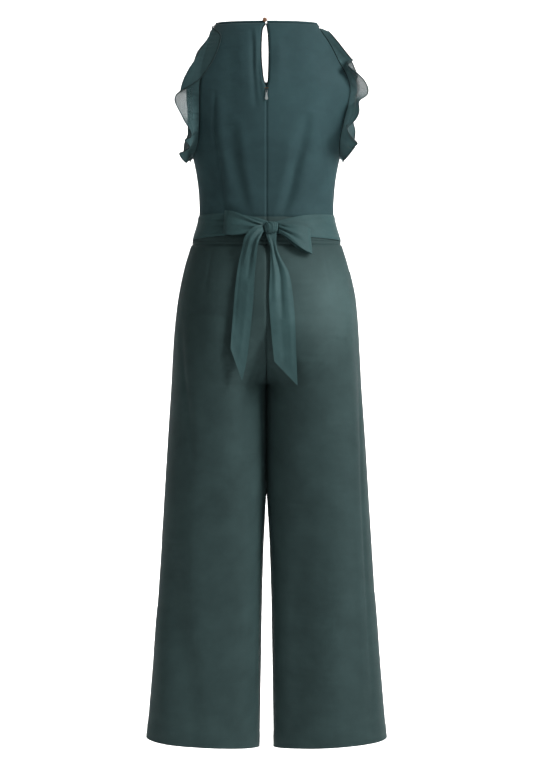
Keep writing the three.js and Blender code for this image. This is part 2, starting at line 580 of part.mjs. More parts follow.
function ruffle(side, table) {
  const path = armholePath(side);
  const [width, base, angle, lay, fold] = ['width', 'base', 'angle', 'lay', 'fold']
    .map((name) => profile(table, 'at', name));
  const grid = steps(RUFFLE_STEPS).map((at) => {
    const place = path(at);
    const out = new THREE.Vector3(side, 0, 0);
    out.addScaledVector(place.along, -out.dot(place.along)).normalize();
    const inwards = new THREE.Vector3().crossVectors(place.along, out).multiplyScalar(side).normalize();
    const laid = THREE.MathUtils.clamp(lay(at), 0, 1);
    const turnsAt = Math.max(fold(at), TURNED.least);
    return RUFFLE_ACROSS.map((share) => {
      const reach = share * width(at);
      const turn = radians(mix(base(at), angle(at), ease(share / RUFFLE_TURN)));
      const free = place.point.clone().addScaledVector(out, Math.cos(turn) * reach + SEAM + CHIFFON)
        .addScaledVector(inwards, Math.sin(turn) * reach);
      free.z -= RUFFLE_DROOP * share * share;
      return free.lerp(turnedBack(place, out, width(at), turnsAt, share), laid);
    });
  });
  return thicken(grid, CHIFFON);
}

// A wall of even thickness about a grid of points
function thicken(grid, wall) {
  const outer = [];
  const inner = [];
  grid.forEach((row, i) => {
    const above = grid[Math.max(i - 1, 0)];
    const below = grid[Math.min(i + 1, grid.length - 1)];
    const normals = row.map((_, j) => {
      const across = row[Math.min(j + 1, row.length - 1)].clone().sub(row[Math.max(j - 1, 0)]);
      return across.cross(below[j].clone().sub(above[j])).normalize();
    });
    outer.push(row.map((p, j) => p.clone().addScaledVector(normals[j], wall / 2)));
    inner.push(row.map((p, j) => p.clone().addScaledVector(normals[j], -wall / 2)));
  });
  return slab(outer, inner);
}

function ruffles() {
  return [
    piece('ruffle_left', ruffle(-1, RUFFLE_LEFT), ruffleCloth),
    piece('ruffle_right', ruffle(1, RUFFLE_RIGHT), ruffleCloth),
  ];
}

// Waistband: one front piece and two back pieces, between the waist seam and the trousers
function waistbandSurface(side, face) {
  return (u, v) => {
    const angle = u * Math.PI / 2;
    const bottom = mix(BAND_SIDE, BAND_MIDDLE, Math.cos(angle));
    const point = formPoint(angle, mix(WAIST, bottom, v), side, face);
    const shift = new THREE.Vector3(0, face === 'back' ? -SEAM / 2 : SEAM / 2, 0);
    if (face === 'back') shift.x = side * SEAM / 2;
    return point.add(shift);
  };
}

function waistband() {
  const pieces = [];
  for (const [name, side] of [['left', -1], ['right', 1]]) {
    const surface = waistbandSurface(side, 'back');
    const geometry = clothWall(surface, steps(BACK_COLUMNS), steps(2), CREPE, fromMiddle);
    pieces.push(piece(`waistband_back_${name}`, geometry, crepe));
  }
  const left = waistbandSurface(-1, 'front');
  const right = waistbandSurface(1, 'front');
  const front = (u, v) => (u < 0.5 ? left(1 - 2 * u, v) : right(2 * u - 1, v));
  const whole = clothWall(front, steps(FRONT_COLUMNS), steps(2), CREPE, fromMiddle);
  pieces.push(piece('waistband_front', whole, crepe));
  return pieces;
}

// Trouser panels. The inner edge runs down the centre seam, along the crotch curve and down the
// inseam; the outer edge is the side seam.
function trouserSurface(side, face) {
  const { top, length } = CROTCH_CURVE[face];
  const seamLength = BAND_MIDDLE - top;
  const total = seamLength + length + CROTCH - HEM_INNER;
  return (u, v) => {
    const down = v * total;
    let start = 0;
    let inner = BAND_MIDDLE - down;
    if (down > seamLength) {
      start = -Math.min((down - seamLength) / length, 1) * Math.PI / 2;
      inner = mix(top, CROTCH, Math.sin(-start));
    }
    if (down > seamLength + length) inner = CROTCH - (down - seamLength - length);
    const outer = mix(BAND_SIDE, HEM_OUTER, v);
    const angle = mix(start, Math.PI / 2, u);
    const level = start < 0 ? mix(1 - u, Math.cos(u * Math.PI / 2), 1 + 2 * start / Math.PI)
      : Math.cos(angle);
    const z = mix(outer, inner, level);
    const point = formPoint(angle, z, side, face, start);
    const shift = face === 'back' ? -SEAM / 2 : SEAM / 2;
    return point.add(new THREE.Vector3(side * SEAM / 2, shift, -SEAM));
  };
}

function trousers() {
  const pieces = [];
  for (const face of ['back', 'front']) {
    for (const [name, side] of [['left', -1], ['right', 1]]) {
      const surface = trouserSurface(side, face);
      const geometry = clothWall(surface, steps(10), steps(24), CREPE, fromLeg(side));
      pieces.push(piece(`trouser_${face}_${name}`, geometry, crepe));
    }
  }
  return pieces;
}

// The sash round the waist, from the knot round the front and back to the knot
function beltSurface() {
  const top = profile(BELT_ROWS, 'turn', 'top');
  const bottom = profile(BELT_ROWS, 'turn', 'bottom');
  const knotAngle = Math.asin(KNOT.x / halfWidth(KNOT.z));
  return (u, v) => {
    const round = knotAngle + mix(0.004, 2 * Math.PI - 0.004, u);
    const z = mix(top(u), bottom(u), v);
    const cosine = Math.cos(round);
    const face = cosine > 0 ? 'back' : 'front';
    const y = depth[face](z) * Math.sign(cosine) * Math.abs(cosine) ** ROUNDNESS;
    return new THREE.Vector3(halfWidth(z) * Math.sin(round), -y, z);
  };
}

function beltLoop(side, loop) {
  const reach = profile(LOOP_ROWS, 's', 'reach');
  const stand = profile(LOOP_ROWS, 's', 'stand');
  const startX = KNOT.x + side * (KNOT.halfWidth + 1.4);
  const grid = steps(26).map((s) => {
    const out = THREE.MathUtils.clamp(reach(s), 0, 1);
    const height = mix(loop.knotHeight, loop.endHeight, ease(out * 1.15));
    const middle = mix(KNOT.z, loop.endZ, out);
    return steps(3).map((t) => {
      const z = middle + (t - 0.5) * height;
      const x = mix(startX, loop.endX + loop.slant * (t - 0.5), out);
      return new THREE.Vector3(x, backSurface(x, z) - stand(s), z);
    });
  });
  return thicken(grid, SASH);
}

function beltTail(rows) {
  const column = (name) => profile(rows, 'v', name);
  const [leftX, leftZ, rightX, rightZ, stand] = ['leftX', 'leftZ', 'rightX', 'rightZ', 'stand'].map(column);
  const grid = steps(16).map((v) => steps(4).map((t) => {
    const x = mix(leftX(v), rightX(v), t);
    const z = mix(leftZ(v), rightZ(v), t);
    const resting = backSurface(x, Math.max(z, FULLEST));
    const hanging = ease((FULLEST + HANG.above - z) / HANG.over);
    const y = mix(resting, -depth.back(FULLEST), hanging) - stand(v);
    return new THREE.Vector3(x, y, z);
  }));
  return thicken(grid, SASH);
}

// The knot, a soft block with rounded sides
function knotGeometry() {
  const geometry = new THREE.SphereGeometry(1, 16, 10);
  deleteLooks(geometry);
  const merged = mergeVertices(geometry);
  const place = merged.getAttribute('position');
  const soften = (value) => Math.sign(value) * Math.abs(value) ** 0.8;
  for (let i = 0; i < place.count; i += 1) {
    place.setXYZ(
      i,
      soften(place.getX(i)) * KNOT.halfWidth,
      soften(place.getY(i)) * KNOT.halfDepth,
      soften(place.getZ(i)) * KNOT.halfHeight,
    );
  }
  merged.computeVertexNormals();
  return merged;
}

function sash() {
  const band = clothWall(beltSurface(), steps(48), steps(2), SASH, fromMiddle, BELT_OFF + SASH);
  const knot = piece('belt_knot', knotGeometry(), sashCloth);
  const standOff = BELT_OFF + SASH + 1.5 + KNOT.halfDepth;
  knot.position.set(KNOT.x, backSurface(KNOT.x, KNOT.z) - standOff, KNOT.z);
  return [
    piece('belt_band', band, sashCloth),
    knot,
    piece('bow_loop_left', beltLoop(-1, LOOP_LEFT), sashCloth),
    piece('bow_loop_right', beltLoop(1, LOOP_RIGHT), sashCloth),
    piece('belt_tail_left', beltTail(TAIL_LEFT), sashCloth),
    piece('belt_tail_right', beltTail(TAIL_RIGHT), sashCloth),
  ];
}

// Button on its shank, facing backwards
function button() {
  const { radius, shank, shankRadius, bevel, crown } = BUTTON;
  const front = shank + BUTTON.thickness;
  const section = [
    [0, 0], [shankRadius, 0], [shankRadius, shank], [radius - bevel, shank], [radius, shank + bevel],
    [radius - bevel, front - bevel], [radius - crown, front - bevel / 6], [0, front],
  ];
  const mesh = piece('neck_button', lathe(section, 20), copperButton);
  mesh.rotation.x = Math.PI;
  mesh.position.set(BUTTON.x, BUTTON.y, BUTTON.z);
  return mesh;
}

// A cord from the right binding round the button's shank and back
function buttonLoop() {
  const { reach, halfHeight, cord } = BUTTON_LOOP;
  const straight = [1, 0.5].map((share) => [share * reach, halfHeight]);
  const bend = steps(8).map((t) => {
    const turn = Math.PI / 2 + t * Math.PI;
    return [Math.cos(turn) * halfHeight, Math.sin(turn) * halfHeight];
  });
  const back = straight.map(([x, z]) => [x, -z]).reverse();
  const path = [...straight, ...bend, ...back].map(([x, z]) => new THREE.Vector2(x, z));
  const rings = path.map((p, i) => {
    const ahead = path[Math.min(i + 1, path.length - 1)].clone().sub(path[Math.max(i - 1, 0)]).normalize();
    return Array.from({ length: 6 }, (_, k) => {
      const turn = (2 * Math.PI * k) / 6;
      const side = Math.cos(turn) * cord;
      const y = BUTTON.y - BUTTON.shank / 2 + Math.sin(turn) * cord;
      return new THREE.Vector3(BUTTON.x + p.x - ahead.y * side, y, BUTTON.z + p.y + ahead.x * side);
    });
  });
  return piece('button_loop', tube(rings), bodiceCloth);
}

function hookBar() {
  const { z, width, depth: thick, height } = HOOK_BAR;
  const mesh = piece('hook_bar', new THREE.BoxGeometry(width, thick, height), brass);
  deleteLooks(mesh.geometry);
  mesh.geometry = mergeVertices(mesh.geometry);
  mesh.position.set(0, backSurface(0, z) - SEAM * 1.5 - thick / 2, z);
  return mesh;
}

function deleteLooks(geometry) {
  geometry.deleteAttribute('normal');
  geometry.deleteAttribute('uv');
}

// The slider lies on the seam between the back panels
const sliderBack = backSurface(0, SLIDER.top) - SEAM * 1.5;
const hingeY = sliderBack - SLIDER.plate - EYE.inside / 2;

// A flat outline in the x, z plane given a thickness along y, starting at the depth y
function plate(shape, thickness, y) {
  const geometry = new THREE.ExtrudeGeometry(shape, { depth: thickness, bevelEnabled: false });
  deleteLooks(geometry);
  geometry.rotateX(Math.PI / 2);
  geometry.translate(0, y, 0);
  return mergeVertices(geometry);
}

function solidOf(geometry) {
  return new wasm.Manifold(new wasm.Mesh({
    numProp: 3,
    vertProperties: Float32Array.from(geometry.getAttribute('position').array),
    triVerts: Uint32Array.from(geometry.getIndex().array),
  }));
}

function geometryOf(solid) {
  const mesh = solid.getMesh();
  const geometry = new THREE.BufferGeometry();
  geometry.setAttribute('position', new THREE.BufferAttribute(mesh.vertProperties, 3));
  geometry.setIndex(Array.from(mesh.triVerts));
  geometry.computeVertexNormals();
  return geometry;
}

function boxSolid(width, thick, height, x, y, z) {
  const geometry = new THREE.BoxGeometry(width, thick, height);
  deleteLooks(geometry);
  geometry.translate(x, y, z);
  return solidOf(mergeVertices(geometry));
}

// Slider: a plate with clipped corners, and an eye standing on it
function zipSlider() {
  const half = SLIDER.width / 2;
  const bottom = SLIDER.top - SLIDER.length;
  const outline = new THREE.Shape([
    new THREE.Vector2(-half + 0.8, SLIDER.top), new THREE.Vector2(half - 0.8, SLIDER.top),
    new THREE.Vector2(half, SLIDER.top - 1.2), new THREE.Vector2(half * 0.72, bottom),
    new THREE.Vector2(-half * 0.72, bottom), new THREE.Vector2(-half, SLIDER.top - 1.2),
  ]);
  const base = solidOf(plate(outline, SLIDER.plate, sliderBack));
  const rise = EYE.inside + EYE.wall;
  const eyeY = sliderBack - SLIDER.plate - rise / 2 + 0.1;
  const block = boxSolid(EYE.halfWidth * 2, rise + 0.2, EYE.halfLength * 2, 0, eyeY, EYE.z);
  const opening = boxSolid(EYE.halfWidth * 3, EYE.inside, (EYE.halfLength - EYE.wall) * 2, 0, hingeY, EYE.z);
  return piece('zip_slider', geometryOf(base.add(block.subtract(opening))), enamel);
}

// Pull: a small leaf that hangs from a bar through the eye
function zipPull() {
  const { length, thickness, halfWidth: half, neck, arm, hole, clear, bar } = PULL;
  const foot = steps(8).map((t) => {
    const turn = -t * Math.PI;
    return new THREE.Vector2(Math.cos(turn) * half, Math.sin(turn) * half - length + half);
  });
  const outline = new THREE.Shape([
    new THREE.Vector2(-arm, bar), new THREE.Vector2(arm, bar), new THREE.Vector2(arm, -clear),
    new THREE.Vector2(neck, -clear - 2), ...foot,
    new THREE.Vector2(-neck, -clear - 2), new THREE.Vector2(-arm, -clear),
  ]);
  const leaf = solidOf(plate(outline, thickness, thickness / 2));
  const window = boxSolid(hole * 2, thickness * 2, clear - bar, 0, 0, -(clear + bar) / 2);
  const mesh = piece('zip_pull', geometryOf(leaf.subtract(window)), enamel);
  mesh.position.set(0, hingeY, EYE.z);
  return mesh;
}

function lathe(section, segments) {
  const points = section.map(([x, y]) => new THREE.Vector2(x, y));
  const geometry = new THREE.LatheGeometry(points, segments);
  deleteLooks(geometry);
  const merged = mergeVertices(geometry);
  merged.computeVertexNormals();
  return merged;
}

function piece(name, geometry, material) {
  const mesh = new THREE.Mesh(geometry, material);
  mesh.name = name;
  return mesh;
}

const jumpsuit = new THREE.Group();
jumpsuit.name = 'jumpsuit';
jumpsuit.add(...bodice(), ...neckBindings(), ...ruffles());
jumpsuit.add(...waistband(), ...trousers(), ...sash());
jumpsuit.add(button(), buttonLoop(), hookBar(), zipSlider(), zipPull());

export default jumpsuit;
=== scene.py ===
# %% [markdown]
# Sleeveless jumpsuit with ruffled armholes, a keyhole back and a tied sash
# The garment is a shell of thin crepe that hangs as if somebody wore it, with its back towards us.
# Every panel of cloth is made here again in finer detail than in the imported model, from the same
# measured form, so that each one lies exactly where its solid lies.

import math

import bpy
import numpy as np
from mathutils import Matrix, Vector


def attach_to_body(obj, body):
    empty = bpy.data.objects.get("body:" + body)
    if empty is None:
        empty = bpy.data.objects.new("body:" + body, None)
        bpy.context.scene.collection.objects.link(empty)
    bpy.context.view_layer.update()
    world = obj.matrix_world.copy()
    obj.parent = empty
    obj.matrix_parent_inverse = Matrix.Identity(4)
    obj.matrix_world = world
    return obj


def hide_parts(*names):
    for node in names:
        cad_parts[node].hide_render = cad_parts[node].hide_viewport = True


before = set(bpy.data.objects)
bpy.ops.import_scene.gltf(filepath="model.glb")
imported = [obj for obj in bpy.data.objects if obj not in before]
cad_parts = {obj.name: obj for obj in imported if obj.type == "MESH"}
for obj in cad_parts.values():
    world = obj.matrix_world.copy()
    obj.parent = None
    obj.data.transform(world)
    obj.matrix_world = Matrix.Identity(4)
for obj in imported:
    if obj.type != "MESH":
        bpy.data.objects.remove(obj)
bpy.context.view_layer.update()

# %% [markdown]
# Camera
# The photo looks straight at the middle of the garment's back from a few metres away, and one pixel
# of it is about two millimetres. The lens below gives the same scale at that distance.

# %% Camera
DISTANCE = 3.5
MIDDLE_HEIGHT = -0.730
MM_PER_PIXEL = 2.03
FRAME_HEIGHT = 766


def add_camera():
    data = bpy.data.cameras.new("camera")
    data.sensor_fit = "VERTICAL"
    data.sensor_height = 24.0
    data.lens = 24.0 * DISTANCE * 1000 / (MM_PER_PIXEL * FRAME_HEIGHT)
    camera = bpy.data.objects.new("camera", data)
    camera.location = (0.0, -DISTANCE, MIDDLE_HEIGHT)
    camera.rotation_euler = (math.radians(90), 0.0, 0.0)
    bpy.context.scene.collection.objects.link(camera)
    bpy.context.scene.camera = camera
    return camera


print("lens", round(add_camera().data.lens, 2))

# %% [markdown]
# Node helpers
# Materials are built from nodes. A small helper adds a node, sets its choices and joins its inputs,
# which keeps each recipe short enough to read from top to bottom.

# %% Node helpers
def add_node(tree, kind, choices=None, **inputs):
    """Adds a node. An input goes by its name, or by i and its number."""
    item = tree.nodes.new(kind)
    for name, value in (choices or {}).items():
        setattr(item, name, value)
    for name, value in inputs.items():
        numbered = name[0] == "i" and name[1:].isdigit()
        socket = item.inputs[int(name[1:]) if numbered else name]
        if isinstance(value, bpy.types.NodeSocket):
            tree.links.new(value, socket)
        else:
            socket.default_value = value
    return item


def new_group(name, inputs, outputs):
    group = bpy.data.node_groups.new(name, "ShaderNodeTree")
    for label, kind in inputs:
        group.interface.new_socket(label, in_out="INPUT", socket_type=kind)
    for label, kind in outputs:
        group.interface.new_socket(label, in_out="OUTPUT", socket_type=kind)
    start = group.nodes.new("NodeGroupInput")
    end = group.nodes.new("NodeGroupOutput")
    return group, start, end


def clear_material(name):
    material = bpy.data.materials.new(name)
    material.use_nodes = True
    tree = material.node_tree
    tree.nodes.clear()
    return material, tree


def in_range(tree, value, low, high, to_low=0.0, to_high=1.0):
    limits = {"From Min": low, "From Max": high, "To Min": to_low, "To Max": to_high}
    return add_node(tree, "ShaderNodeMapRange", Value=value, **limits).outputs["Result"]


def between_colours(tree, share, first, second):
    mixed = add_node(tree, "ShaderNodeMix", {"data_type": "RGBA"}, Factor=share, i6=first, i7=second)
    return mixed.outputs[2]


def patches(tree, scale, detail=2.0):
    """Soft uneven patches that keep their place on the object."""
    place = add_node(tree, "ShaderNodeTexCoord").outputs["Object"]
    noise = add_node(tree, "ShaderNodeTexNoise", Vector=place, Scale=scale, Detail=detail)
    return noise.outputs["Fac"]


def bump(tree, height, distance, strength):
    node = add_node(tree, "ShaderNodeBump", Height=height, Distance=distance, Strength=strength)
    return node.outputs["Normal"]


def principled(tree, **inputs):
    """The usual surface. An input's name is written with _ where it has a space."""
    named = {name.replace("_", " "): value for name, value in inputs.items()}
    return add_node(tree, "ShaderNodeBsdfPrincipled", **named).outputs["BSDF"]


def finish_material(tree, surface):
    add_node(tree, "ShaderNodeOutputMaterial", Surface=surface)


# %% [markdown]
# Weave
# Crepe is woven from hard-twisted yarn, so its face is a fine plain weave with a pebbled grain over
# it. Two sets of narrow bands make the threads and a noise makes the pebbles. It is a node group
# because the bodice, the trousers and the sash all use it.

# %% Weave group
def weave_group():
    group, start, end = new_group(
        "crepe_weave",
        [("Vector", "NodeSocketVector"), ("Thread", "NodeSocketFloat"), ("Pebble", "NodeSocketFloat")],
        [("Height", "NodeSocketFloat"), ("Shade", "NodeSocketFloat")],
    )
    at = start.outputs["Vector"]
    wobble = add_node(group, "ShaderNodeTexNoise", Vector=at, Scale=start.outputs["Pebble"], Detail=3.0)
    bands = []
    for direction in ("X", "Y"):
        wave = add_node(
            group, "ShaderNodeTexWave", {"wave_type": "BANDS", "bands_direction": direction},
            Vector=at, Scale=start.outputs["Thread"], Distortion=1.4, Detail=2.0,
        )
        bands.append(wave.outputs["Fac"])
    threads = add_node(group, "ShaderNodeMath", {"operation": "MAXIMUM"}, i0=bands[0], i1=bands[1])
    height = add_node(
        group, "ShaderNodeMath", {"operation": "MULTIPLY_ADD"},
        i0=wobble.outputs["Fac"], i1=1.4, i2=threads.outputs[0],
    )
    broad = add_node(group, "ShaderNodeTexNoise", Vector=at, Scale=16.0, Detail=4.0, Roughness=0.6)
    shade = add_node(
        group, "ShaderNodeMath", {"operation": "MULTIPLY_ADD"},
        i0=wobble.outputs["Fac"], i1=0.35, i2=broad.outputs["Fac"],
    )
    group.links.new(height.outputs[0], end.inputs["Height"])
    group.links.new(shade.outputs[0], end.inputs["Shade"])
    return group


CREPE_WEAVE = weave_group()
print("weave nodes", len(CREPE_WEAVE.nodes))

# %% [markdown]
# Cloth finishes
# One recipe serves each cloth of the garment: a dark and a light dye colour that the weave mixes, a
# soft sheen from the fibres that stand off the surface, and a bump of a fraction of a millimetre.

# %% Cloth recipe
def linear(red, green, blue):
    """A colour as a screen shows it, 0 to 255, as the plain light values that Blender uses."""
    shares = [value / 255 for value in (red, green, blue)]
    return tuple(s / 12.92 if s <= 0.04045 else ((s + 0.055) / 1.055) ** 2.4 for s in shares) + (1.0,)


SHADES = (0.45, 0.95)
CREPE_THREADS = {"Thread": 330.0, "Pebble": 900.0}
CREPE_RELIEF = 0.00012
SHEEN_TINT = linear(205, 228, 230)
DULL = 0.08


def woven(tree, at, threads, dark, light):
    """The height of the weave at each point, and the dye colour that it picks there."""
    weave = add_node(tree, "ShaderNodeGroup", {"node_tree": CREPE_WEAVE}, Vector=at, **threads)
    share = in_range(tree, weave.outputs["Shade"], *SHADES)
    return weave.outputs["Height"], between_colours(tree, share, linear(*dark), linear(*light))


def cloth_uv(tree):
    return add_node(tree, "ShaderNodeUVMap", {"uv_map": "cloth"}).outputs["UV"]


def cloth_material(name, dark, light, roughness, sheen, on_uv=True):
    material, tree = clear_material(name)
    at = cloth_uv(tree) if on_uv else add_node(tree, "ShaderNodeTexCoord").outputs["Object"]
    height, colour = woven(tree, at, CREPE_THREADS, dark, light)
    finish_material(tree, principled(
        tree, Base_Color=colour, Normal=bump(tree, height, CREPE_RELIEF, 0.8),
        Roughness=in_range(tree, height, 0.4, 2.0, roughness + 0.06, roughness - 0.05),
        Sheen_Weight=sheen, Sheen_Roughness=0.45, Sheen_Tint=SHEEN_TINT, Specular_IOR_Level=DULL,
    ))
    material.diffuse_color = linear(*light)
    return material


BODICE_CLOTH = cloth_material("bodice crepe", (36, 55, 58), (44, 66, 69), 0.7, 0.01)
TROUSER_CLOTH = cloth_material("trouser crepe", (39, 54, 54), (47, 64, 64), 0.66, 0.015)
SASH_CLOTH = cloth_material("sash crepe", (43, 64, 65), (53, 77, 78), 0.55, 0.02)
HEM_CLOTH = cloth_material("rolled hem", (28, 41, 42), (38, 53, 54), 0.75, 0.03)
# The seam allowance is dyed much darker than the crepe it is cut from: painted shade inside the seams.
SEAM_SHADE_CLOTH = cloth_material("seam allowance painted shade", (14, 21, 22), (20, 29, 30), 0.85, 0.0)
CORD_CLOTH = cloth_material("button cord", (28, 41, 42), (38, 53, 54), 0.7, 0.03, on_uv=False)
print("cloths", [m.name for m in (BODICE_CLOTH, TROUSER_CLOTH, SASH_CLOTH, HEM_CLOTH, CORD_CLOTH)])

# %% [markdown]
# Chiffon
# The ruffles are one layer of chiffon, which lets light through between its threads. Seen against a
# pale wall it goes grey, so each face of the thin sheet has an alpha a little above one half. Where
# the cloth is gathered into its seam or lies double it hides what is behind it. The attribute
# gathered, from 0 to 1 at each point of a ruffle, says how far.

# %% Chiffon material
CHIFFON_THREADS = {"Thread": 420.0, "Pebble": 700.0}
CHIFFON_RELIEF = 0.0001
SHEER_ALPHA = (0.6, 0.68)
GATHERED_ALPHA = 0.97


def chiffon_material():
    material, tree = clear_material("sheer chiffon")
    height, colour = woven(tree, cloth_uv(tree), CHIFFON_THREADS, (42, 61, 63), (52, 75, 77))
    sheer = in_range(tree, height, 0.3, 2.0, *SHEER_ALPHA)
    share = add_node(tree, "ShaderNodeAttribute", {"attribute_name": "gathered"}).outputs["Fac"]
    alpha = add_node(
        tree, "ShaderNodeMix", {"data_type": "FLOAT"}, Factor=share, i2=sheer, i3=GATHERED_ALPHA)
    finish_material(tree, principled(
        tree, Base_Color=colour, Normal=bump(tree, height, CHIFFON_RELIEF, 0.6),
        Alpha=alpha.outputs[0], Roughness=0.7, Sheen_Weight=0.02, Specular_IOR_Level=DULL,
    ))
    return material


CHIFFON_CLOTH = chiffon_material()
print("chiffon ready")

# %% [markdown]
# Metal and button finishes
# The hook bar and the zip are small pieces of plated and painted metal, and the button is a copper
# coloured shell. Each has a little variation in gloss, since nothing this small is polished evenly.

# %% Hard finishes
def hard_material(name, color, worn, roughness, metallic):
    material, tree = clear_material(name)
    wear = patches(tree, 900.0, 4.0)
    finish_material(tree, principled(
        tree, Base_Color=between_colours(tree, wear, linear(*color), linear(*worn)),
        Normal=bump(tree, wear, 0.00004, 0.5), Metallic=metallic,
        Roughness=in_range(tree, wear, 0.0, 1.0, roughness - 0.08, roughness + 0.12),
    ))
    return material


BRASS = hard_material("dark brass", (74, 62, 50), (104, 84, 62), 0.38, 0.9)
ZIP_METAL = hard_material("painted zip", (44, 58, 60), (92, 104, 106), 0.3, 0.85)
PULL_METAL = hard_material("zip pull", (118, 128, 128), (186, 194, 194), 0.3, 0.55)
COPPER = hard_material("copper button", (98, 66, 48), (146, 104, 78), 0.32, 0.35)
print("hard finishes", [m.name for m in (BRASS, ZIP_METAL, PULL_METAL, COPPER)])

# %% [markdown]
# The worn form
# A dressmaker's tape would give the same table: at each height the half width between the side seams,
# the depth behind and in front, and how far the inseam stands from the middle, in millimetres. Smooth
# curves through its columns make the whole body of the garment.

# %% Tables and curves
def table(names, rows):
    """Rows of numbers as named columns. A row that stops early ends in zeros."""
    names = names.split()
    full = [row + (0,) * (len(names) - len(row)) for row in rows]
    return {name: np.array(column, float) for name, column in zip(names, zip(*full))}


def curve(rows, at, value):
    """A smooth curve through one column of a table, for arrays of places."""
    knots, values = rows[at], rows[value]
    sign = np.sign(knots[-1] - knots[0])
    ahead = np.minimum(np.arange(len(knots)) + 1, len(knots) - 1)
    behind = np.maximum(np.arange(len(knots)) - 1, 0)
    slope = (values[ahead] - values[behind]) / (knots[ahead] - knots[behind])

    def read(t):
        t = np.asarray(t, float)
        i = np.clip(np.searchsorted(knots * sign, t * sign, side="right") - 1, 0, len(knots) - 2)
        span = knots[i + 1] - knots[i]
        s = np.clip((t - knots[i]) / span, 0, 1)
        rise = values[i + 1] - values[i]
        bend = (1 - s) * (slope[i] * span - rise) - s * (slope[i + 1] * span - rise)
        return values[i] + rise * s + s * (1 - s) * bend

    return read


FORM = table("z half back front inseam", [
    (0, 101, 52, 34), (-12, 110, 60, 40), (-28, 124, 70, 48), (-58, 147, 86, 64),
    (-88, 170, 96, 78), (-115, 189, 101, 90), (-141, 196, 104, 99), (-168, 192, 103, 108),
    (-198, 181, 102, 118), (-225, 168, 100, 125), (-250, 156, 97, 128), (-278, 147, 93, 126),
    (-320, 139, 87, 116), (-366, 135, 82, 102), (-400, 136, 83, 97), (-430, 144, 91, 99),
    (-456, 153, 99, 103), (-500, 166, 112, 109), (-560, 178, 124, 114), (-620, 185, 128, 114),
    (-680, 189, 125, 111), (-730, 191.5, 118, 104), (-800, 196, 108, 94), (-870, 200.5, 101, 88),
    (-936, 204.6, 96, 84.6, 0.3), (-985, 207.5, 93, 83, 3.2), (-1070, 213, 87, 80, 7.5),
    (-1180, 220, 81, 77, 11), (-1280, 227, 77, 75, 12.5), (-1380, 236, 73, 73, 14),
    (-1470, 245, 70, 71, 15),
])
HALF = curve(FORM, "z", "half")
DEPTH = {"back": curve(FORM, "z", "back"), "front": curve(FORM, "z", "front")}
INSEAM = curve(FORM, "z", "inseam")
ROUNDNESS = 0.92
SEAM = 0.3
print("widest half width", HALF(np.linspace(-1470, 0, 60)).max())

# %% [markdown]
# Points of the form
# A cross-section is nearly an ellipse, a little squarer. The angle runs from 0 at the middle of the
# back or front to 90 degrees at the side seam, and on a leg it starts at minus 90 at the inseam.

# %% Form points
def mix(a, b, t):
    return a + (b - a) * t


def ease(t):
    t = np.clip(t, 0, 1)
    return t * t * (3 - 2 * t)


SIDES = {"left": -1, "right": 1}


def half_seam(face):
    """Half of the seam's gap, away from the plane where back and front meet."""
    return -SEAM / 2 if face == "back" else SEAM / 2


def form_point(angle, z, side, face, start=0.0):
    inner = np.maximum(INSEAM(z), 0)
    reach = (HALF(z) - inner) / (1 - np.sin(start))
    x = HALF(z) - reach * (1 - np.sin(angle))
    cosine = np.cos(angle)
    y = DEPTH[face](z) * np.sign(cosine) * np.abs(cosine) ** ROUNDNESS
    return np.stack([side * x, -y if face == "back" else y, z + 0 * x], axis=-1)


def back_surface(x, z):
    sine = np.clip(x / HALF(z), -1, 1)
    return -DEPTH["back"](z) * (1 - sine * sine) ** (ROUNDNESS / 2)


print("back of the waist at y", back_surface(0.0, -400.0))

# %% [markdown]
# From a grid of points to a sheet of cloth
# Each panel is one grid of points on its outer face. Its threads run along the grid, so the length
# along rows and columns is kept as the UV map. Solidify then gives it its wall, which goes inwards
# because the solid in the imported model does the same.

# %% Cloth sheets
def unit(vectors):
    return vectors / np.maximum(np.linalg.norm(vectors, axis=-1, keepdims=True), 1e-9)


def square_to(along, vectors):
    """The part of each vector that is at right angles to the line it starts from."""
    return unit(vectors - along * (vectors * along).sum(axis=-1, keepdims=True))


def facing_out(vectors, points):
    """Turns round the vectors that point towards the middle of the garment."""
    away = vectors[..., 0] * points[..., 0] + vectors[..., 1] * points[..., 1]
    return np.where(away[..., None] < 0, -vectors, vectors)


def grid_normals(points):
    return unit(np.cross(np.gradient(points, axis=1), np.gradient(points, axis=0)))


def lengths(points):
    """Length along the rows and along the columns at each point of a grid, in metres."""
    across = np.linalg.norm(np.diff(points, axis=1), axis=-1)
    down = np.linalg.norm(np.diff(points, axis=0), axis=-1)
    u = np.concatenate([np.zeros((len(points), 1)), np.cumsum(across, axis=1)], axis=1)
    v = np.concatenate([np.zeros((1, points.shape[1])), np.cumsum(down, axis=0)], axis=0)
    return (u - u.mean(axis=1, keepdims=True)) / 1000, v / 1000


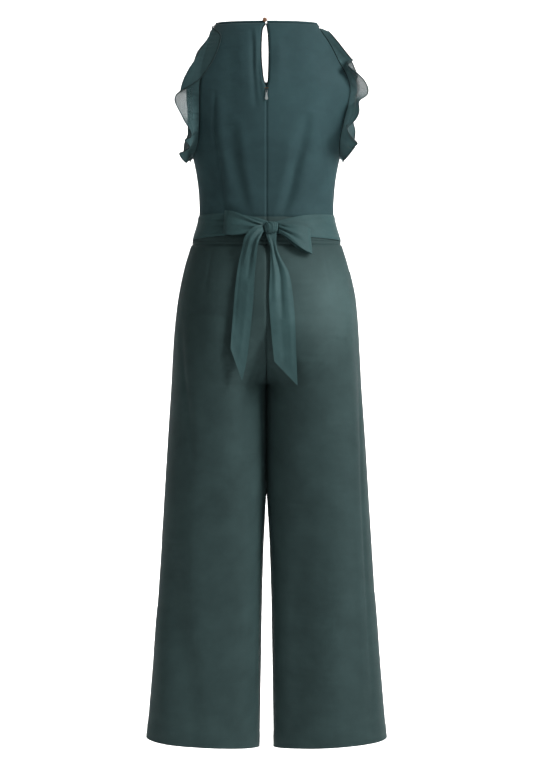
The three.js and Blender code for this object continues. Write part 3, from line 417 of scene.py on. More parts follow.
def grid_mesh(name, points, material, flip=False, closed=False):
    rows, columns = points.shape[:2]
    index = np.arange(rows * columns).reshape(rows, columns)
    last = columns if closed else columns - 1
    right = np.roll(index, -1, axis=1)
    corners = [index[:-1, :last], right[:-1, :last], right[1:, :last], index[1:, :last]]
    faces = np.stack([c.ravel() for c in (corners[::-1] if flip else corners)], axis=1)
    mesh = bpy.data.meshes.new(name)
    mesh.from_pydata((points.reshape(-1, 3) / 1000).tolist(), [], faces.tolist())
    u, v = lengths(points)
    if closed:
        around = np.linalg.norm(points - np.roll(points, -1, axis=1), axis=-1).mean() / 1000
        u = np.broadcast_to(np.arange(columns) * around, (rows, columns))
    uv = np.stack([u.ravel(), v.ravel()], axis=1)[faces.ravel()].reshape(-1, 4, 2)
    if closed:
        first = np.isin(faces, index[:, 0])
        seam = first.any(axis=1) & np.isin(faces, index[:, -1]).any(axis=1)
        uv[..., 0][first & seam[:, None]] = columns * around
    layer = mesh.uv_layers.new(name="cloth")
    layer.data.foreach_set("uv", uv.astype(np.float32).ravel())
    mesh.polygons.foreach_set("use_smooth", np.ones(len(faces), bool))
    mesh.materials.append(material)
    piece = bpy.data.objects.new(name, mesh)
    bpy.context.scene.collection.objects.link(piece)
    return piece


SMOOTH_UP_TO = math.radians(55)


def select_only(piece):
    bpy.ops.object.select_all(action="DESELECT")
    piece.select_set(True)
    bpy.context.view_layer.objects.active = piece


def give_wall(piece, wall, offset=-1.0):
    select_only(piece)
    solidify = piece.modifiers.new("wall", "SOLIDIFY")
    solidify.thickness = wall / 1000
    solidify.offset = offset
    solidify.use_even_offset = False
    bpy.ops.object.modifier_apply(modifier=solidify.name)
    bpy.ops.object.shade_smooth_by_angle(angle=SMOOTH_UP_TO)


def flat_size(points):
    """Width, length and area of a grid laid flat, in metres."""
    across = np.linalg.norm(np.diff(points, axis=1), axis=-1).sum(axis=1).max()
    down = np.linalg.norm(np.diff(points, axis=0), axis=-1).sum(axis=0).max()
    a, b, c, d = points[:-1, :-1], points[:-1, 1:], points[1:, 1:], points[1:, :-1]
    area = np.linalg.norm(np.cross(c - a, d - b), axis=-1).sum() / 2
    return across / 1000, down / 1000, area / 1e6


MADE = []


def attach(piece, node=None):
    """Every piece of cloth belongs to the garment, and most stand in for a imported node."""
    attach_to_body(piece, "garment")
    if node:
        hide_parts(node)
    return piece


def finish_cloth(piece, node, flat, with_pieces=()):
    attach(piece, node)
    width, length, area = flat
    triangles = sum(len(p.vertices) - 2 for p in piece.data.polygons)
    MADE.append((piece.name, round(width, 3), round(length, 3), round(area, 4), triangles))
    print(*MADE[-1])


# %% [markdown]
# Folds listed one by one
# A fold is a line of points on the cloth as seen from behind or in front, with the half width of the
# fold and its height, which is below zero for a trough. It fades out towards both ends. Real folds
# are uneven, so each has its own line, width and height.

# %% Fold helper
FOLD_STEP = 0.5
FOLD_FADE = 0.6
LEAST_STEPS = 6


def fold_relief(x, z, folds):
    total = np.zeros_like(x)
    for line, width, height in folds:
        line = np.array(line, float)
        legs = np.linalg.norm(np.diff(line, axis=0), axis=1)
        run = np.concatenate([[0], np.cumsum(legs)])
        count = max(int(run[-1] / (width * FOLD_STEP)), LEAST_STEPS)
        share = np.linspace(0, 1, count)
        px, pz = (curve({"t": run / run[-1], "p": line[:, k]}, "t", "p")(share) for k in (0, 1))
        nearest = np.full(x.shape, 1e9)
        place = np.zeros_like(x)
        for s, cx, cz in zip(share, px, pz):
            away = (x - cx) ** 2 + (z - cz) ** 2
            closer = away < nearest
            nearest = np.where(closer, away, nearest)
            place = np.where(closer, s, place)
        fade = np.clip(np.sin(math.pi * place), 0, 1) ** FOLD_FADE
        total += height * np.exp(-nearest / width ** 2) * fade
    return total


def ridge(distance, width, height):
    """A soft ridge across a distance, or a groove where its height is below zero."""
    return height * np.exp(-(distance / width) ** 2)


def edge_roll(distance, deep=1.5, wide=2.1):
    """The cloth turns in towards a seam over its last two millimetres."""
    return ridge(distance, wide, -deep)


def spread(count, tight=0.6):
    """Places from 0 to 1 that lie closer together near both ends."""
    t = np.linspace(0, 1, count)
    return mix(t, (1 - np.cos(math.pi * t)) / 2, tight)


print("fold helper ready")

# %% [markdown]
# Bodice rows
# The two back panels meet at the middle below a keyhole, and the front is one panel with a scooped
# neck. Each row of a panel has its height at the middle and at the outer edge, and the angle that it
# sweeps round the body, which is small beside the armhole and 90 degrees at the side seam.

# %% Bodice tables
WAIST = -400
UNDERARM = -278
NECK_BLEND = 0.12
CREPE = 1.2
ROWS = {
    "back": table("v middle edge sweep left_sweep", [
        (0.0, -11, -5, 90, 90), (0.03, -20, -12, 84, 80), (0.08, -36, -28, 69, 60),
        (0.16, -60, -58, 63, 52), (0.24, -88, -88, 58, 47), (0.31, -112, -115, 57, 43),
        (0.38, -134, -141, 58, 42), (0.45, -148, -168, 58, 43.5), (0.53, -180, -198, 59.5, 47),
        (0.6, -212, -225, 63, 52.5), (0.66, -240, -250, 69.5, 61), (0.7, -262, -267, 78, 72),
        (0.74, -276, UNDERARM, 90, 90), (0.83, -318, -318, 90, 90), (0.92, -360, -360, 90, 90),
        (1.0, WAIST, WAIST, 90, 90),
    ]),
    "front": table("v middle edge sweep", [
        (0.0, -110, -5, 90), (0.03, -118, -12, 84), (0.08, -130, -28, 69), (0.16, -146, -58, 61),
        (0.24, -162, -88, 57), (0.31, -177, -115, 53), (0.38, -192, -141, 51),
        (0.45, -207, -168, 51.5), (0.53, -224, -198, 55), (0.6, -240, -225, 60),
        (0.66, -256, -250, 67.5), (0.7, -268, -267, 77), (0.74, -278, UNDERARM, 90),
        (0.83, -318, -318, 90), (0.92, -360, -360, 90), (1.0, WAIST, WAIST, 90),
    ]),
}
KEYHOLE = table("z left right", [
    (-8, 0, 0), (-20, 8, 2.4), (-36, 10.6, 4.4), (-60, 11.6, 5.6), (-88, 11.4, 5.8),
    (-112, 9.4, 5.2), (-134, 6.4, 4.2), (-148, 0, 0),
])


def bodice_surface(side, face):
    swept = "left_sweep" if face == "back" and side < 0 else "sweep"
    middle, edge, sweep = (curve(ROWS[face], "v", name) for name in ("middle", "edge", swept))
    neck_half = HALF(edge(0.0))
    keyhole = curve(KEYHOLE, "z", "left" if side < 0 else "right")

    def point(u, v):
        quarter = u * math.pi / 2
        z = mix(edge(v), middle(v), np.cos(quarter))
        neck_angle = np.arcsin(np.minimum(neck_half * np.sin(quarter) / HALF(z), 1))
        angle = mix(neck_angle, u * np.radians(sweep(v)), ease(v / NECK_BLEND))
        place = form_point(angle, z, side, face)
        if face == "back":
            place[..., 0] += side * (keyhole(z) * (1 - u) ** 4 + SEAM / 2)
        return place + [0, half_seam(face), SEAM]

    return point


def whole_front(surface):
    """Both halves of a front as one surface, from the wearer's left side to the right."""
    left, right = surface(-1, "front"), surface(1, "front")

    def point(u, v):
        return np.where((u < 0.5)[..., None], left(np.abs(1 - 2 * u), v), right(np.abs(2 * u - 1), v))

    return point


def grid(surface, columns, rows, tight=0.6):
    u, v = np.meshgrid(spread(columns, tight), np.linspace(0, 1, rows))
    return surface(u, v), u, v


print("neck corner", bodice_surface(1, "back")(np.array(1.0), np.array(0.0)))

# %% [markdown]
# Neck binding
# A narrow bias strip is rolled round the neck edge. It is a tube that follows the top row of each
# panel, with the small dents that turning a bias strip leaves along it.

# %% Neck binding
BINDING_HEIGHT = 5
BINDING_DEPTH = 3
BINDING_GAP = 1.1
END_INSET = 0.03
DENT_WAVES = (11, 17, 29, 43)


def surface_frames(surface, us, v):
    step = 1e-3
    inside = np.clip(us, END_INSET, 1 - END_INSET)
    at = np.full_like(us, v)
    du = unit(surface(inside + step, at) - surface(inside - step, at))
    dv = unit(surface(inside, at + step) - surface(inside, at))
    return du, dv, unit(np.cross(du, dv))


def tube_mesh(name, centres, ups, outs, high, deep, sides, material, dents, seed):
    turn = np.arange(sides)[None, :, None] * 2 * math.pi / sides
    random = np.random.default_rng(seed)
    along = np.linspace(0, 1, len(centres))
    waves = sum(np.sin(2 * math.pi * along * n + random.uniform(0, 6)) for n in DENT_WAVES) / 4
    scale = (1 + dents * waves)[:, None, None]
    ring = np.cos(turn) * ups[:, None] * high / 2 + np.sin(turn) * outs[:, None] * deep / 2
    points = centres[:, None] + ring * scale
    ends = [points[end] * 0.4 + centres[end, None] * 0.6 for end in (np.s_[:1], np.s_[-1:])]
    points = np.concatenate([ends[0], points, ends[1]])
    piece = grid_mesh(name, points, material, closed=True)
    select_only(piece)
    bpy.ops.object.mode_set(mode="EDIT")
    bpy.ops.mesh.select_all(action="DESELECT")
    bpy.ops.mesh.select_non_manifold()
    bpy.ops.mesh.fill()
    bpy.ops.mesh.select_all(action="SELECT")
    bpy.ops.mesh.normals_make_consistent(inside=False)
    bpy.ops.object.mode_set(mode="OBJECT")
    return piece


def binding(name, node, surface, count, seed):
    us = np.linspace(0, 1, count)
    du, dv, out = surface_frames(surface, us, 0.0)
    point = surface(us, np.zeros_like(us))
    up = square_to(du, -dv)
    out = facing_out(out, point)
    centres = point + up * (BINDING_HEIGHT / 2 + BINDING_GAP) - out * CREPE / 2
    piece = tube_mesh(name, centres, up, out, BINDING_HEIGHT, BINDING_DEPTH, sides=14,
                      material=BODICE_CLOTH, dents=0.05, seed=seed)
    attach(piece, node)
    print(name, "length", round(np.linalg.norm(np.diff(point, axis=0), axis=1).sum() / 1000, 3))
    return piece


NECK_ROLLS = {
    "left": binding("neck_roll_left", "neck_binding_back_left", bodice_surface(-1, "back"), 60, 3),
    "right": binding("neck_roll_right", "neck_binding_back_right", bodice_surface(1, "back"), 60, 4),
    "front": binding("neck_roll_front", "neck_binding_front", whole_front(bodice_surface), 110, 5),
}

# %% [markdown]
# Bodice folds
# Behind, the left panel has a long dart seam and soft vertical pleats where the cloth is gathered at
# the keyhole; the right panel has one deep soft fold that runs up from the knot. Places are in
# millimetres to the side of the middle seam and above the origin, as seen from behind.

# %% Bodice fold tables
BODICE_BACK_FOLDS = [
    ([(-102, -150), (-103, -235), (-92, -300), (-83, -392)], 4.0, -2.6),
    ([(-92, -160), (-92, -240), (-81, -300), (-72, -390)], 11, 2.4),
    ([(-68, -215), (-60, -290), (-44, -360), (-33, -398)], 13, -3.2),
    ([(-52, -200), (-46, -280), (-34, -350), (-22, -396)], 12, 1.8),
    ([(-31, -22), (-27, -60), (-26, -110), (-21, -190)], 6.0, -2.6),
    ([(-15, -22), (-14, -60), (-15, -100), (-12, -170)], 4.2, -1.8),
    ([(-23, -22), (-21, -70), (-21, -130)], 4.0, 1.0),
    ([(-52, -30), (-50, -80), (-46, -150)], 13, 1.2),
    ([(-76, -60), (-70, -130), (-60, -220)], 20, -1.4),
    ([(24, -404), (35, -383), (47, -350), (58, -300), (72, -246), (82, -195)], 10, -5.2),
    ([(44, -404), (58, -370), (74, -318), (92, -250), (102, -190)], 14, 3.8),
    ([(18, -398), (28, -352), (40, -290), (52, -230)], 13, 2.2),
    ([(106, -228), (115, -290), (124, -352)], 2.6, -1.0),
    ([(112, -236), (122, -300), (127, -360)], 7, 0.9),
    ([(20, -26), (24, -80), (22, -150)], 10, 0.9),
    ([(40, -40), (46, -100), (58, -170)], 17, -1.2),
    ([(86, -70), (100, -120), (108, -176)], 18, 1.4),
    ([(-124, -300), (-112, -330), (-70, -356)], 9, -1.0),
    ([(-126, -352), (-104, -366), (-60, -372)], 7, 1.0),
    ([(128, -316), (108, -338), (78, -350)], 9, -0.9),
    ([(130, -366), (106, -376), (84, -386)], 7, -1.0),
]
BODICE_FRONT_FOLDS = [
    ([(96, -262), (92, -300), (84, -350), (80, -396)], 2.8, -1.2),
    ([(-95, -266), (-92, -306), (-85, -352), (-82, -396)], 2.8, -1.2),
    ([(70, -300), (62, -340), (52, -396)], 13, -2.2),
    ([(-66, -294), (-60, -342), (-54, -396)], 12, -2.0),
    ([(36, -290), (34, -340), (30, -396)], 13, 1.6),
    ([(-28, -300), (-30, -350), (-26, -396)], 11, 1.3),
    ([(8, -310), (4, -350), (2, -396)], 9, -1.4),
    ([(60, -120), (40, -146), (12, -158), (-20, -152)], 9, -1.5),
    ([(-76, -118), (-52, -152), (-22, -174), (14, -178)], 10, -1.7),
    ([(-50, -124), (-30, -146), (0, -146)], 7, 1.1),
    ([(86, -96), (88, -150), (80, -200)], 11, 1.4),
    ([(-90, -92), (-92, -150), (-84, -204)], 11, 1.3),
    ([(112, -256), (100, -286), (90, -300)], 8, -1.1),
    ([(-110, -258), (-100, -284), (-88, -300)], 8, -1.1),
    ([(120, -340), (90, -364), (52, -372)], 8, -1.0),
    ([(-122, -330), (-88, -360), (-44, -366)], 8, -1.1),
]
print("bodice folds", len(BODICE_BACK_FOLDS), len(BODICE_FRONT_FOLDS))

# %% [markdown]
# Bodice panels
# The panels are thin shells on the form. The folds move the outer face in and out, and each edge
# rolls in slightly over the allowance that is turned under it, which keeps light from coming through
# the seams. The allowance is dyed dark as painted shade, which draws the seams as fine dark lines.

# %% Bodice panels
def outward_normals(points, middle_x=0.0):
    normals = grid_normals(points)
    away = normals[..., 0] * (points[..., 0] - middle_x) + normals[..., 1] * points[..., 1]
    return normals if away.mean() > 0 else -normals, away.mean() < 0


def edge_distances(points):
    """Distance in millimetres from the first and last column and from the first and last row."""
    u, v = lengths(points)
    left = (u - u[:, :1]) * 1000
    right = (u[:, -1:] - u) * 1000
    return left, right, v * 1000, (v[-1:, :] - v) * 1000


THIN_WALL = 0.5
ALLOWANCE_GAP = 0.9
ALLOWANCE_REACH = (-2.6, 0.0, 3.0, 7.0)
EDGES = {
    "inner": (np.s_[:, 0], np.s_[:, 4]), "outer": (np.s_[:, -1], np.s_[:, -5]),
    "top": (np.s_[0, :], np.s_[3, :]), "bottom": (np.s_[-1, :], np.s_[-4, :]),
}


def painted_shade_strip(name, lines):
    """A strip of cloth between neighbouring lines of points, dark with painted shade."""
    piece = grid_mesh(name, np.stack(lines, axis=1), SEAM_SHADE_CLOTH)
    give_wall(piece, THIN_WALL, 0.0)
    return attach(piece)


def allowance(name, edge, inside, normals):
    """The cloth turned under along one edge, dark with painted shade: a strip behind the panel that
    closes the seam.
    """
    inwards = square_to(unit(np.gradient(edge, axis=0)), unit(inside - edge))
    behind = edge - normals * (CREPE + ALLOWANCE_GAP)
    return painted_shade_strip(name, [behind + inwards * reach for reach in ALLOWANCE_REACH])


def panel(name, node, points, folds, material, middle_x=0.0,
          rolls=(1, 1, 1, 1), extra=0.0, with_pieces=()):
    flat = flat_size(points)
    normals, flip = outward_normals(points, middle_x)
    relief = fold_relief(points[..., 0], points[..., 2], folds) + extra
    for share, distance in zip(rolls, edge_distances(points)):
        relief = relief + share * edge_roll(distance)
    piece = grid_mesh(name, points + normals * relief[..., None], material, flip=not flip)
    strips = [
        allowance(f"{name}_{side}_allowance", points[edge], points[beside], normals[edge])
        for (side, (edge, beside)), share in zip(EDGES.items(), rolls) if share
    ]
    give_wall(piece, CREPE)
    finish_cloth(piece, node, flat, list(with_pieces) + strips)


for name, side in SIDES.items():
    points, _, _ = grid(bodice_surface(side, "back"), 76, 150)
    panel(f"back_panel_{name}", f"bodice_back_{name}", points, BODICE_BACK_FOLDS, BODICE_CLOTH,
          with_pieces=[NECK_ROLLS[name]])
points, _, _ = grid(whole_front(bodice_surface), 150, 120)
panel("front_panel", "bodice_front", points, BODICE_FRONT_FOLDS, BODICE_CLOTH,
      with_pieces=[NECK_ROLLS["front"]])

# %% [markdown]
# Waistband
# A waistband piece sits between the bodice and each pair of trouser panels. The sash hides most of
# it, and its lower seam shows below the sash with the small puckers of a seam that takes strain.

# %% Waistband
BAND_MIDDLE = -456
BAND_SIDE = -449
GROOVE_ABOVE = 7.5
GROOVE_WIDE = 1.5
GROOVE_DEEP = 1.3
STRAINED_ROLL = 1.7
WAISTBAND_FOLDS = [
    ([(-140, -446), (-118, -450), (-84, -452)], 3.0, -0.8),
    ([(-138, -440), (-104, -445), (-58, -448)], 2.6, 0.7),
    ([(-96, -449), (-60, -452), (-24, -452)], 2.6, -0.7),
    ([(92, -448), (120, -446), (142, -443)], 2.8, -0.8),
    ([(70, -452), (104, -450), (136, -447)], 2.6, 0.6),
    ([(30, -451), (56, -453), (86, -451)], 2.6, -0.7),
]


def waistband_surface(side, face):
    def point(u, v):
        angle = u * math.pi / 2
        bottom = mix(BAND_SIDE, BAND_MIDDLE, np.cos(angle))
        place = form_point(angle, mix(WAIST, bottom, v), side, face)
        place[..., 1] += half_seam(face)
        if face == "back":
            place[..., 0] += side * SEAM / 2
        return place

    return point


for name, side in SIDES.items():
    points, _, _ = grid(waistband_surface(side, "back"), 60, 24)
    groove = ridge(edge_distances(points)[3] - GROOVE_ABOVE, GROOVE_WIDE, -GROOVE_DEEP)
    panel(f"waistband_{name}", f"waistband_back_{name}", points, WAISTBAND_FOLDS, TROUSER_CLOTH,
          rolls=(1, 1, 1, STRAINED_ROLL),
          extra=groove)
points, _, _ = grid(whole_front(waistband_surface), 120, 24)
panel("waistband_whole_front", "waistband_front", points, WAISTBAND_FOLDS, TROUSER_CLOTH)

# %% [markdown]
# Trouser panels
# The inner edge of a panel runs down the centre seam, round the crotch curve and down the inseam; the
# outer edge is the side seam. The grid follows those edges, so the cloth's threads do as well.

# %% Trouser surface
HEM_INNER = -1466
HEM_OUTER = -1446
CROTCH = -730
CROTCH_CURVE = {"back": (-600, 195), "front": (-630, 162)}


def trouser_surface(side, face):
    top, length = CROTCH_CURVE[face]
    seam_length = BAND_MIDDLE - top
    total = seam_length + length + CROTCH - HEM_INNER

    def point(u, v):
        down = v * total
        start = -np.clip((down - seam_length) / length, 0, 1) * math.pi / 2
        inner = np.where(down <= seam_length, BAND_MIDDLE - down, mix(top, CROTCH, np.sin(-start)))
        inner = np.where(down > seam_length + length, CROTCH - (down - seam_length - length), inner)
        outer = mix(BAND_SIDE, HEM_OUTER, v)
        angle = mix(start, math.pi / 2, u)
        on_curve = mix(1 - u, np.cos(u * math.pi / 2), 1 + 2 * start / math.pi)
        level = np.where(start < 0, on_curve, np.cos(angle))
        place = form_point(angle, mix(outer, inner, level), side, face, start)
        place[..., 0] += side * SEAM / 2
        place[..., 1] += half_seam(face)
        place[..., 2] -= SEAM
        return place

    return point


print("hem corner", trouser_surface(1, "back")(np.array(1.0), np.array(1.0)))

# %% [markdown]
# Trouser folds
# The legs are wide and hang in long soft flutes that open towards the hem. Near the crotch a few short
# creases fan out, the seat is pulled smooth, and a dart runs down from the waist on each side.

# %% Trouser fold tables
TROUSER_BACK_FOLDS = [
    ([(-107, -458), (-113, -500), (-124, -566)], 2.6, -1.0),
    ([(112, -458), (119, -504), (128, -560)], 2.6, -0.8),
    ([(-170, -600), (-164, -700), (-152, -800), (-146, -900)], 6, -2.6),
    ([(-152, -620), (-146, -720), (-138, -840)], 13, 1.8),
    ([(150, -500), (158, -565), (154, -650)], 26, 3.6),
    ([(-188, -1040), (-174, -1200), (-152, -1340), (-140, -1466)], 24, -6.0),
    ([(-214, -1180), (-206, -1330), (-196, -1466)], 18, 3.5),
    ([(-120, -900), (-116, -1100), (-104, -1300), (-98, -1466)], 30, -3.2),
    ([(-44, -860), (-42, -1040), (-40, -1240), (-42, -1466)], 26, 4.2),
    ([(-78, -700), (-76, -860), (-74, -1000)], 26, 2.4),
    ([(142, -800), (144, -1020), (130, -1240), (118, -1466)], 30, 5.0),
    ([(182, -660), (186, -740), (188, -920), (200, -1160), (212, -1400)], 3.6, -2.4),
    ([(176, -700), (178, -920), (188, -1160), (198, -1400)], 9, 1.8),
    ([(216, -1150), (218, -1300), (224, -1466)], 14, 2.6),
    ([(72, -960), (66, -1180), (58, -1466)], 26, -3.4),
    ([(34, -1000), (34, -1250), (36, -1466)], 16, 2.2),
    ([(172, -560), (182, -700), (184, -850)], 9, -2.0),
    ([(-60, -480), (-72, -560), (-70, -650), (-58, -720)], 20, -3.6),
    ([(-100, -520), (-110, -600), (-104, -700)], 26, 2.0),
    ([(88, -520), (98, -600), (94, -700)], 28, 2.0),
    ([(-10, -648), (-24, -676), (-52, -704)], 9, -2.6),
    ([(8, -668), (26, -694), (60, -722)], 9, -2.4),
    ([(-8, -690), (-14, -716), (-30, -752)], 8, -2.6),
    ([(7, -696), (14, -730), (34, -780)], 8, -2.4),
    ([(-30, -640), (-50, -664), (-84, -680)], 12, 1.6),
    ([(28, -650), (50, -676), (90, -694)], 12, 1.6),
    ([(150, -820), (110, -850), (60, -862)], 12, -1.2),
    ([(-156, -868), (-110, -892), (-60, -900)], 12, -1.2),
]
TROUSER_FRONT_FOLDS = [
    ([(-84, -458), (-86, -500), (-88, -548)], 8, -2.4),
    ([(-74, -458), (-76, -520), (-80, -600), (-84, -700)], 12, 2.4),
    ([(84, -458), (87, -506), (88, -556)], 8, -2.4),
    ([(75, -458), (78, -530), (82, -610), (86, -720)], 12, 2.4),
    ([(-112, -800), (-118, -1040), (-126, -1250), (-132, -1466)], 28, 4.8),
    ([(-172, -900), (-176, -1120), (-182, -1300), (-188, -1466)], 20, -4.4),
    ([(-62, -960), (-64, -1180), (-72, -1466)], 24, -3.6),
    ([(-30, -1000), (-32, -1250), (-34, -1466)], 14, 2.2),
    ([(104, -780), (112, -1030), (120, -1260), (124, -1466)], 28, 4.6),
    ([(166, -880), (172, -1100), (180, -1300), (190, -1466)], 20, -4.8),
    ([(58, -940), (62, -1180), (66, -1466)], 24, -3.4),
    ([(216, -1160), (218, -1310), (222, -1466)], 14, 2.6),
    ([(-218, -1200), (-220, -1330), (-224, -1466)], 14, 2.4),
    ([(-8, -640), (-26, -664), (-60, -684)], 9, -2.4),
    ([(8, -644), (28, -672), (66, -690)], 9, -2.4),
    ([(-9, -684), (-22, -712), (-54, -744)], 9, -2.6),
    ([(8, -688), (20, -720), (50, -760)], 9, -2.4),
    ([(-12, -600), (-40, -616), (-80, -620)], 11, 1.6),
    ([(14, -596), (44, -616), (84, -624)], 11, 1.5),
    ([(-150, -838), (-104, -862), (-56, -866)], 12, -1.2),
    ([(152, -826), (108, -854), (56, -862)], 12, -1.2),
]
print("trouser folds", len(TROUSER_BACK_FOLDS), len(TROUSER_FRONT_FOLDS))

# %% [markdown]
# Making the trousers
# The hem is turned up by 28 mm and blind-stitched, which leaves a faint step above it and a slightly
# thicker edge. It is added to the folds before the panel gets its wall.

# %% Trouser panels
HEM_TURN = 28
HEM_STEP = 0.5
PUCKER = {"width": 2.5, "height": 0.25}
PUCKER_SPACING = 2.4


def hem_relief(points):
    above = edge_distances(points)[3] - HEM_TURN
    step = HEM_STEP * (1 - ease((above + 2) / 3))
    return step + ridge(above, **PUCKER) * np.sin(points[..., 0] / PUCKER_SPACING)


for face, folds in (("back", TROUSER_BACK_FOLDS), ("front", TROUSER_FRONT_FOLDS)):
    for name, side in SIDES.items():
        points, _, _ = grid(trouser_surface(side, face), 84, 280)
        panel(f"trouser_{name}_{face}", f"trouser_{face}_{name}", points, folds, TROUSER_CLOTH,
              side * 100.0, rolls=(1, 1, STRAINED_ROLL, 0),
              extra=hem_relief(points))

# %% [markdown]
# Ruffle tables
# A ruffle is set into the armhole from the underarm behind, over the shoulder and down in front. Each
# row says how wide it is there, which way it stands, and whether it is turned back onto the bodice,
# as the left one is behind the shoulder.

# %% Ruffle tables
RUFFLES = {
    "right": table("at width base angle lay fold", [
        (0.0, 6, 0, -10), (0.025, 15, 0, -20), (0.05, 25, -6, -20), (0.068, 30, -10, -34),
        (0.085, 38, -10, -32), (0.105, 42, -20, -66), (0.125, 42, -20, -82),
        (0.15, 38, -10, -62), (0.175, 33, 0, -47), (0.205, 31, 0, -52), (0.23, 36, 0, -14),
        (0.252, 33, 0, -28), (0.272, 28, 0, -45), (0.288, 25, -10, -60), (0.3, 28, -20, -66),
        (0.316, 28, 0, -8), (0.35, 23, 0, -14), (0.4, 18, 0, -10), (0.44, 16, 0, -4),
        (0.475, 18, 8, 22), (0.5, 19, 24, 46), (0.53, 19, 20, 40), (0.56, 23, 10, 20),
        (0.6, 33, 0, -10), (0.63, 38, 0, -15), (0.66, 40, 0, -16), (0.688, 41, 0, -22),
        (0.712, 40, 0, -58), (0.75, 40, 0, -50), (0.775, 43, 0, -20), (0.8, 40, 0, -40),
        (0.83, 40, 0, -28), (0.86, 40, 0, -28), (0.885, 37, 0, -10), (0.91, 28, 0, -20),
        (0.94, 15, 0, 0), (1.0, 6, 0, -8),
    ]),
    "left": table("at width base angle lay fold", [
        (0.0, 6, 0, -10), (0.028, 21, -10, -44), (0.052, 37, -10, -26), (0.078, 40, -30, -52),
        (0.093, 38, -30, -64), (0.106, 38, -20, -46), (0.118, 38, -30, -66), (0.135, 40, -20, -66),
        (0.157, 42, -6, -50), (0.182, 44, 0, -32), (0.205, 48, 10, -16),
        (0.228, 50, 10, 6, 0.1, 36), (0.244, 58, 10, 0, 0.85, 40), (0.265, 70, 0, -60, 1, 37),
        (0.29, 74, 0, -90, 1, 31), (0.325, 67, 0, -90, 1, 21), (0.36, 60, 0, -90, 1, 15),
        (0.4, 49, 0, -90, 1, 9), (0.435, 36, 0, -90, 1, 5), (0.458, 21, 0, -40, 1, 3),
        (0.48, 8, 0, -40, 0.6, 2), (0.5, 7, 0, -30), (0.52, 8, 0, -40), (0.545, 12, 0, -58),
        (0.575, 22, 0, -66), (0.61, 34, 0, -66), (0.65, 38, 0, -70), (0.69, 40, 0, -64),
        (0.71, 42, 0, -86), (0.75, 44, 0, -84), (0.785, 44, 0, -86), (0.82, 42, 0, -70),
        (0.84, 42, 0, -68), (0.86, 42, 0, -56), (0.885, 37, 0, -46), (0.92, 25, 0, -26),
        (0.96, 10, 0, -10), (1.0, 6, 0, -8),
    ]),
}
CHIFFON = 1.0
RUFFLE_DROOP = 6
GATHERED = {
    "right": table("at share", [
        (0, 0.9), (0.1, 0.85), (0.14, 0.75), (0.2, 0.85), (0.225, 0.1), (0.26, 0.1), (0.29, 0.95),
        (0.5, 1), (0.6, 0.9), (0.66, 0.1), (0.72, 0.05), (0.76, 0.7), (0.84, 0.8), (0.9, 0.6),
        (1, 0.9),
    ]),
    "left": table("at share", [
        (0, 1), (0.13, 1), (0.15, 0.6), (0.17, 0.05), (0.225, 0.0), (0.24, 0.5), (0.25, 0.95),
        (0.5, 1), (0.6, 0.8), (0.7, 0.75), (0.78, 0.6), (0.86, 0.8), (1, 0.9),
    ]),
}
print("ruffle rows", [len(r["at"]) for r in RUFFLES.values()])

# %% [markdown]
# Armhole line
# Both ruffles follow the outer edges of the back and front panels. The line is walked in even steps of
# its own length, so that the rows of the tables sit where they should.

# %% Armhole line
ARMHOLE_END = 9
SMOOTHING = 9


def armhole_line(side, shares):
    rows = ROWS["back"]
    top = rows["v"][1]
    bottom = rows["v"][list(rows["edge"]).index(UNDERARM)]
    parts = []
    for face, (first, last) in (("back", (bottom, top)), ("front", (top, bottom))):
        vs = mix(first, last, np.linspace(0, 1, 241))
        parts.append((face, vs, bodice_surface(side, face)(np.ones_like(vs), vs)))
    points = np.concatenate([p[2] for p in parts])
    run = np.concatenate([[0], np.cumsum(np.linalg.norm(np.diff(points, axis=0), axis=1))])
    target = mix(ARMHOLE_END, run[-1] - ARMHOLE_END, shares)
    index = np.clip(np.searchsorted(run, target), 0, len(points) - 1)
    ahead = points[np.minimum(index + 6, len(points) - 1)]
    behind = points[np.maximum(index - 6, 0)]
    faces = np.array([p[0] for p in parts for _ in p[1]])[index]
    vs = np.concatenate([p[1] for p in parts])[index]
    return points[index], unit(ahead - behind), faces, vs, run[-1]


print("armhole length", round(armhole_line(1, np.linspace(0, 1, 5))[4], 1))

# %% [markdown]
# Ruffle surface
# From its seam the strip goes outwards along the direction of its row, droops a little towards its
# hem, and carries fine gathers that die out before the hem.

# %% Ruffle surface
def smooth_rows(values, count):
    """Averages neighbours along the ruffle, so that its line has no corners."""
    kernel = np.hanning(count + 2)[1:-1]
    kernel = kernel / kernel.sum()
    ends = [np.repeat(part, count // 2, 0) for part in (values[:1], values[-1:])]
    columns = np.concatenate([ends[0], values, ends[1]]).reshape(-1, values.shape[-1]).T
    return np.stack([np.convolve(column, kernel, "valid") for column in columns], axis=1)


FOLD_SOFTNESS = 3.0
FLAP_HEIGHT = 4.6
FLAP_LENGTHENING = 1.12


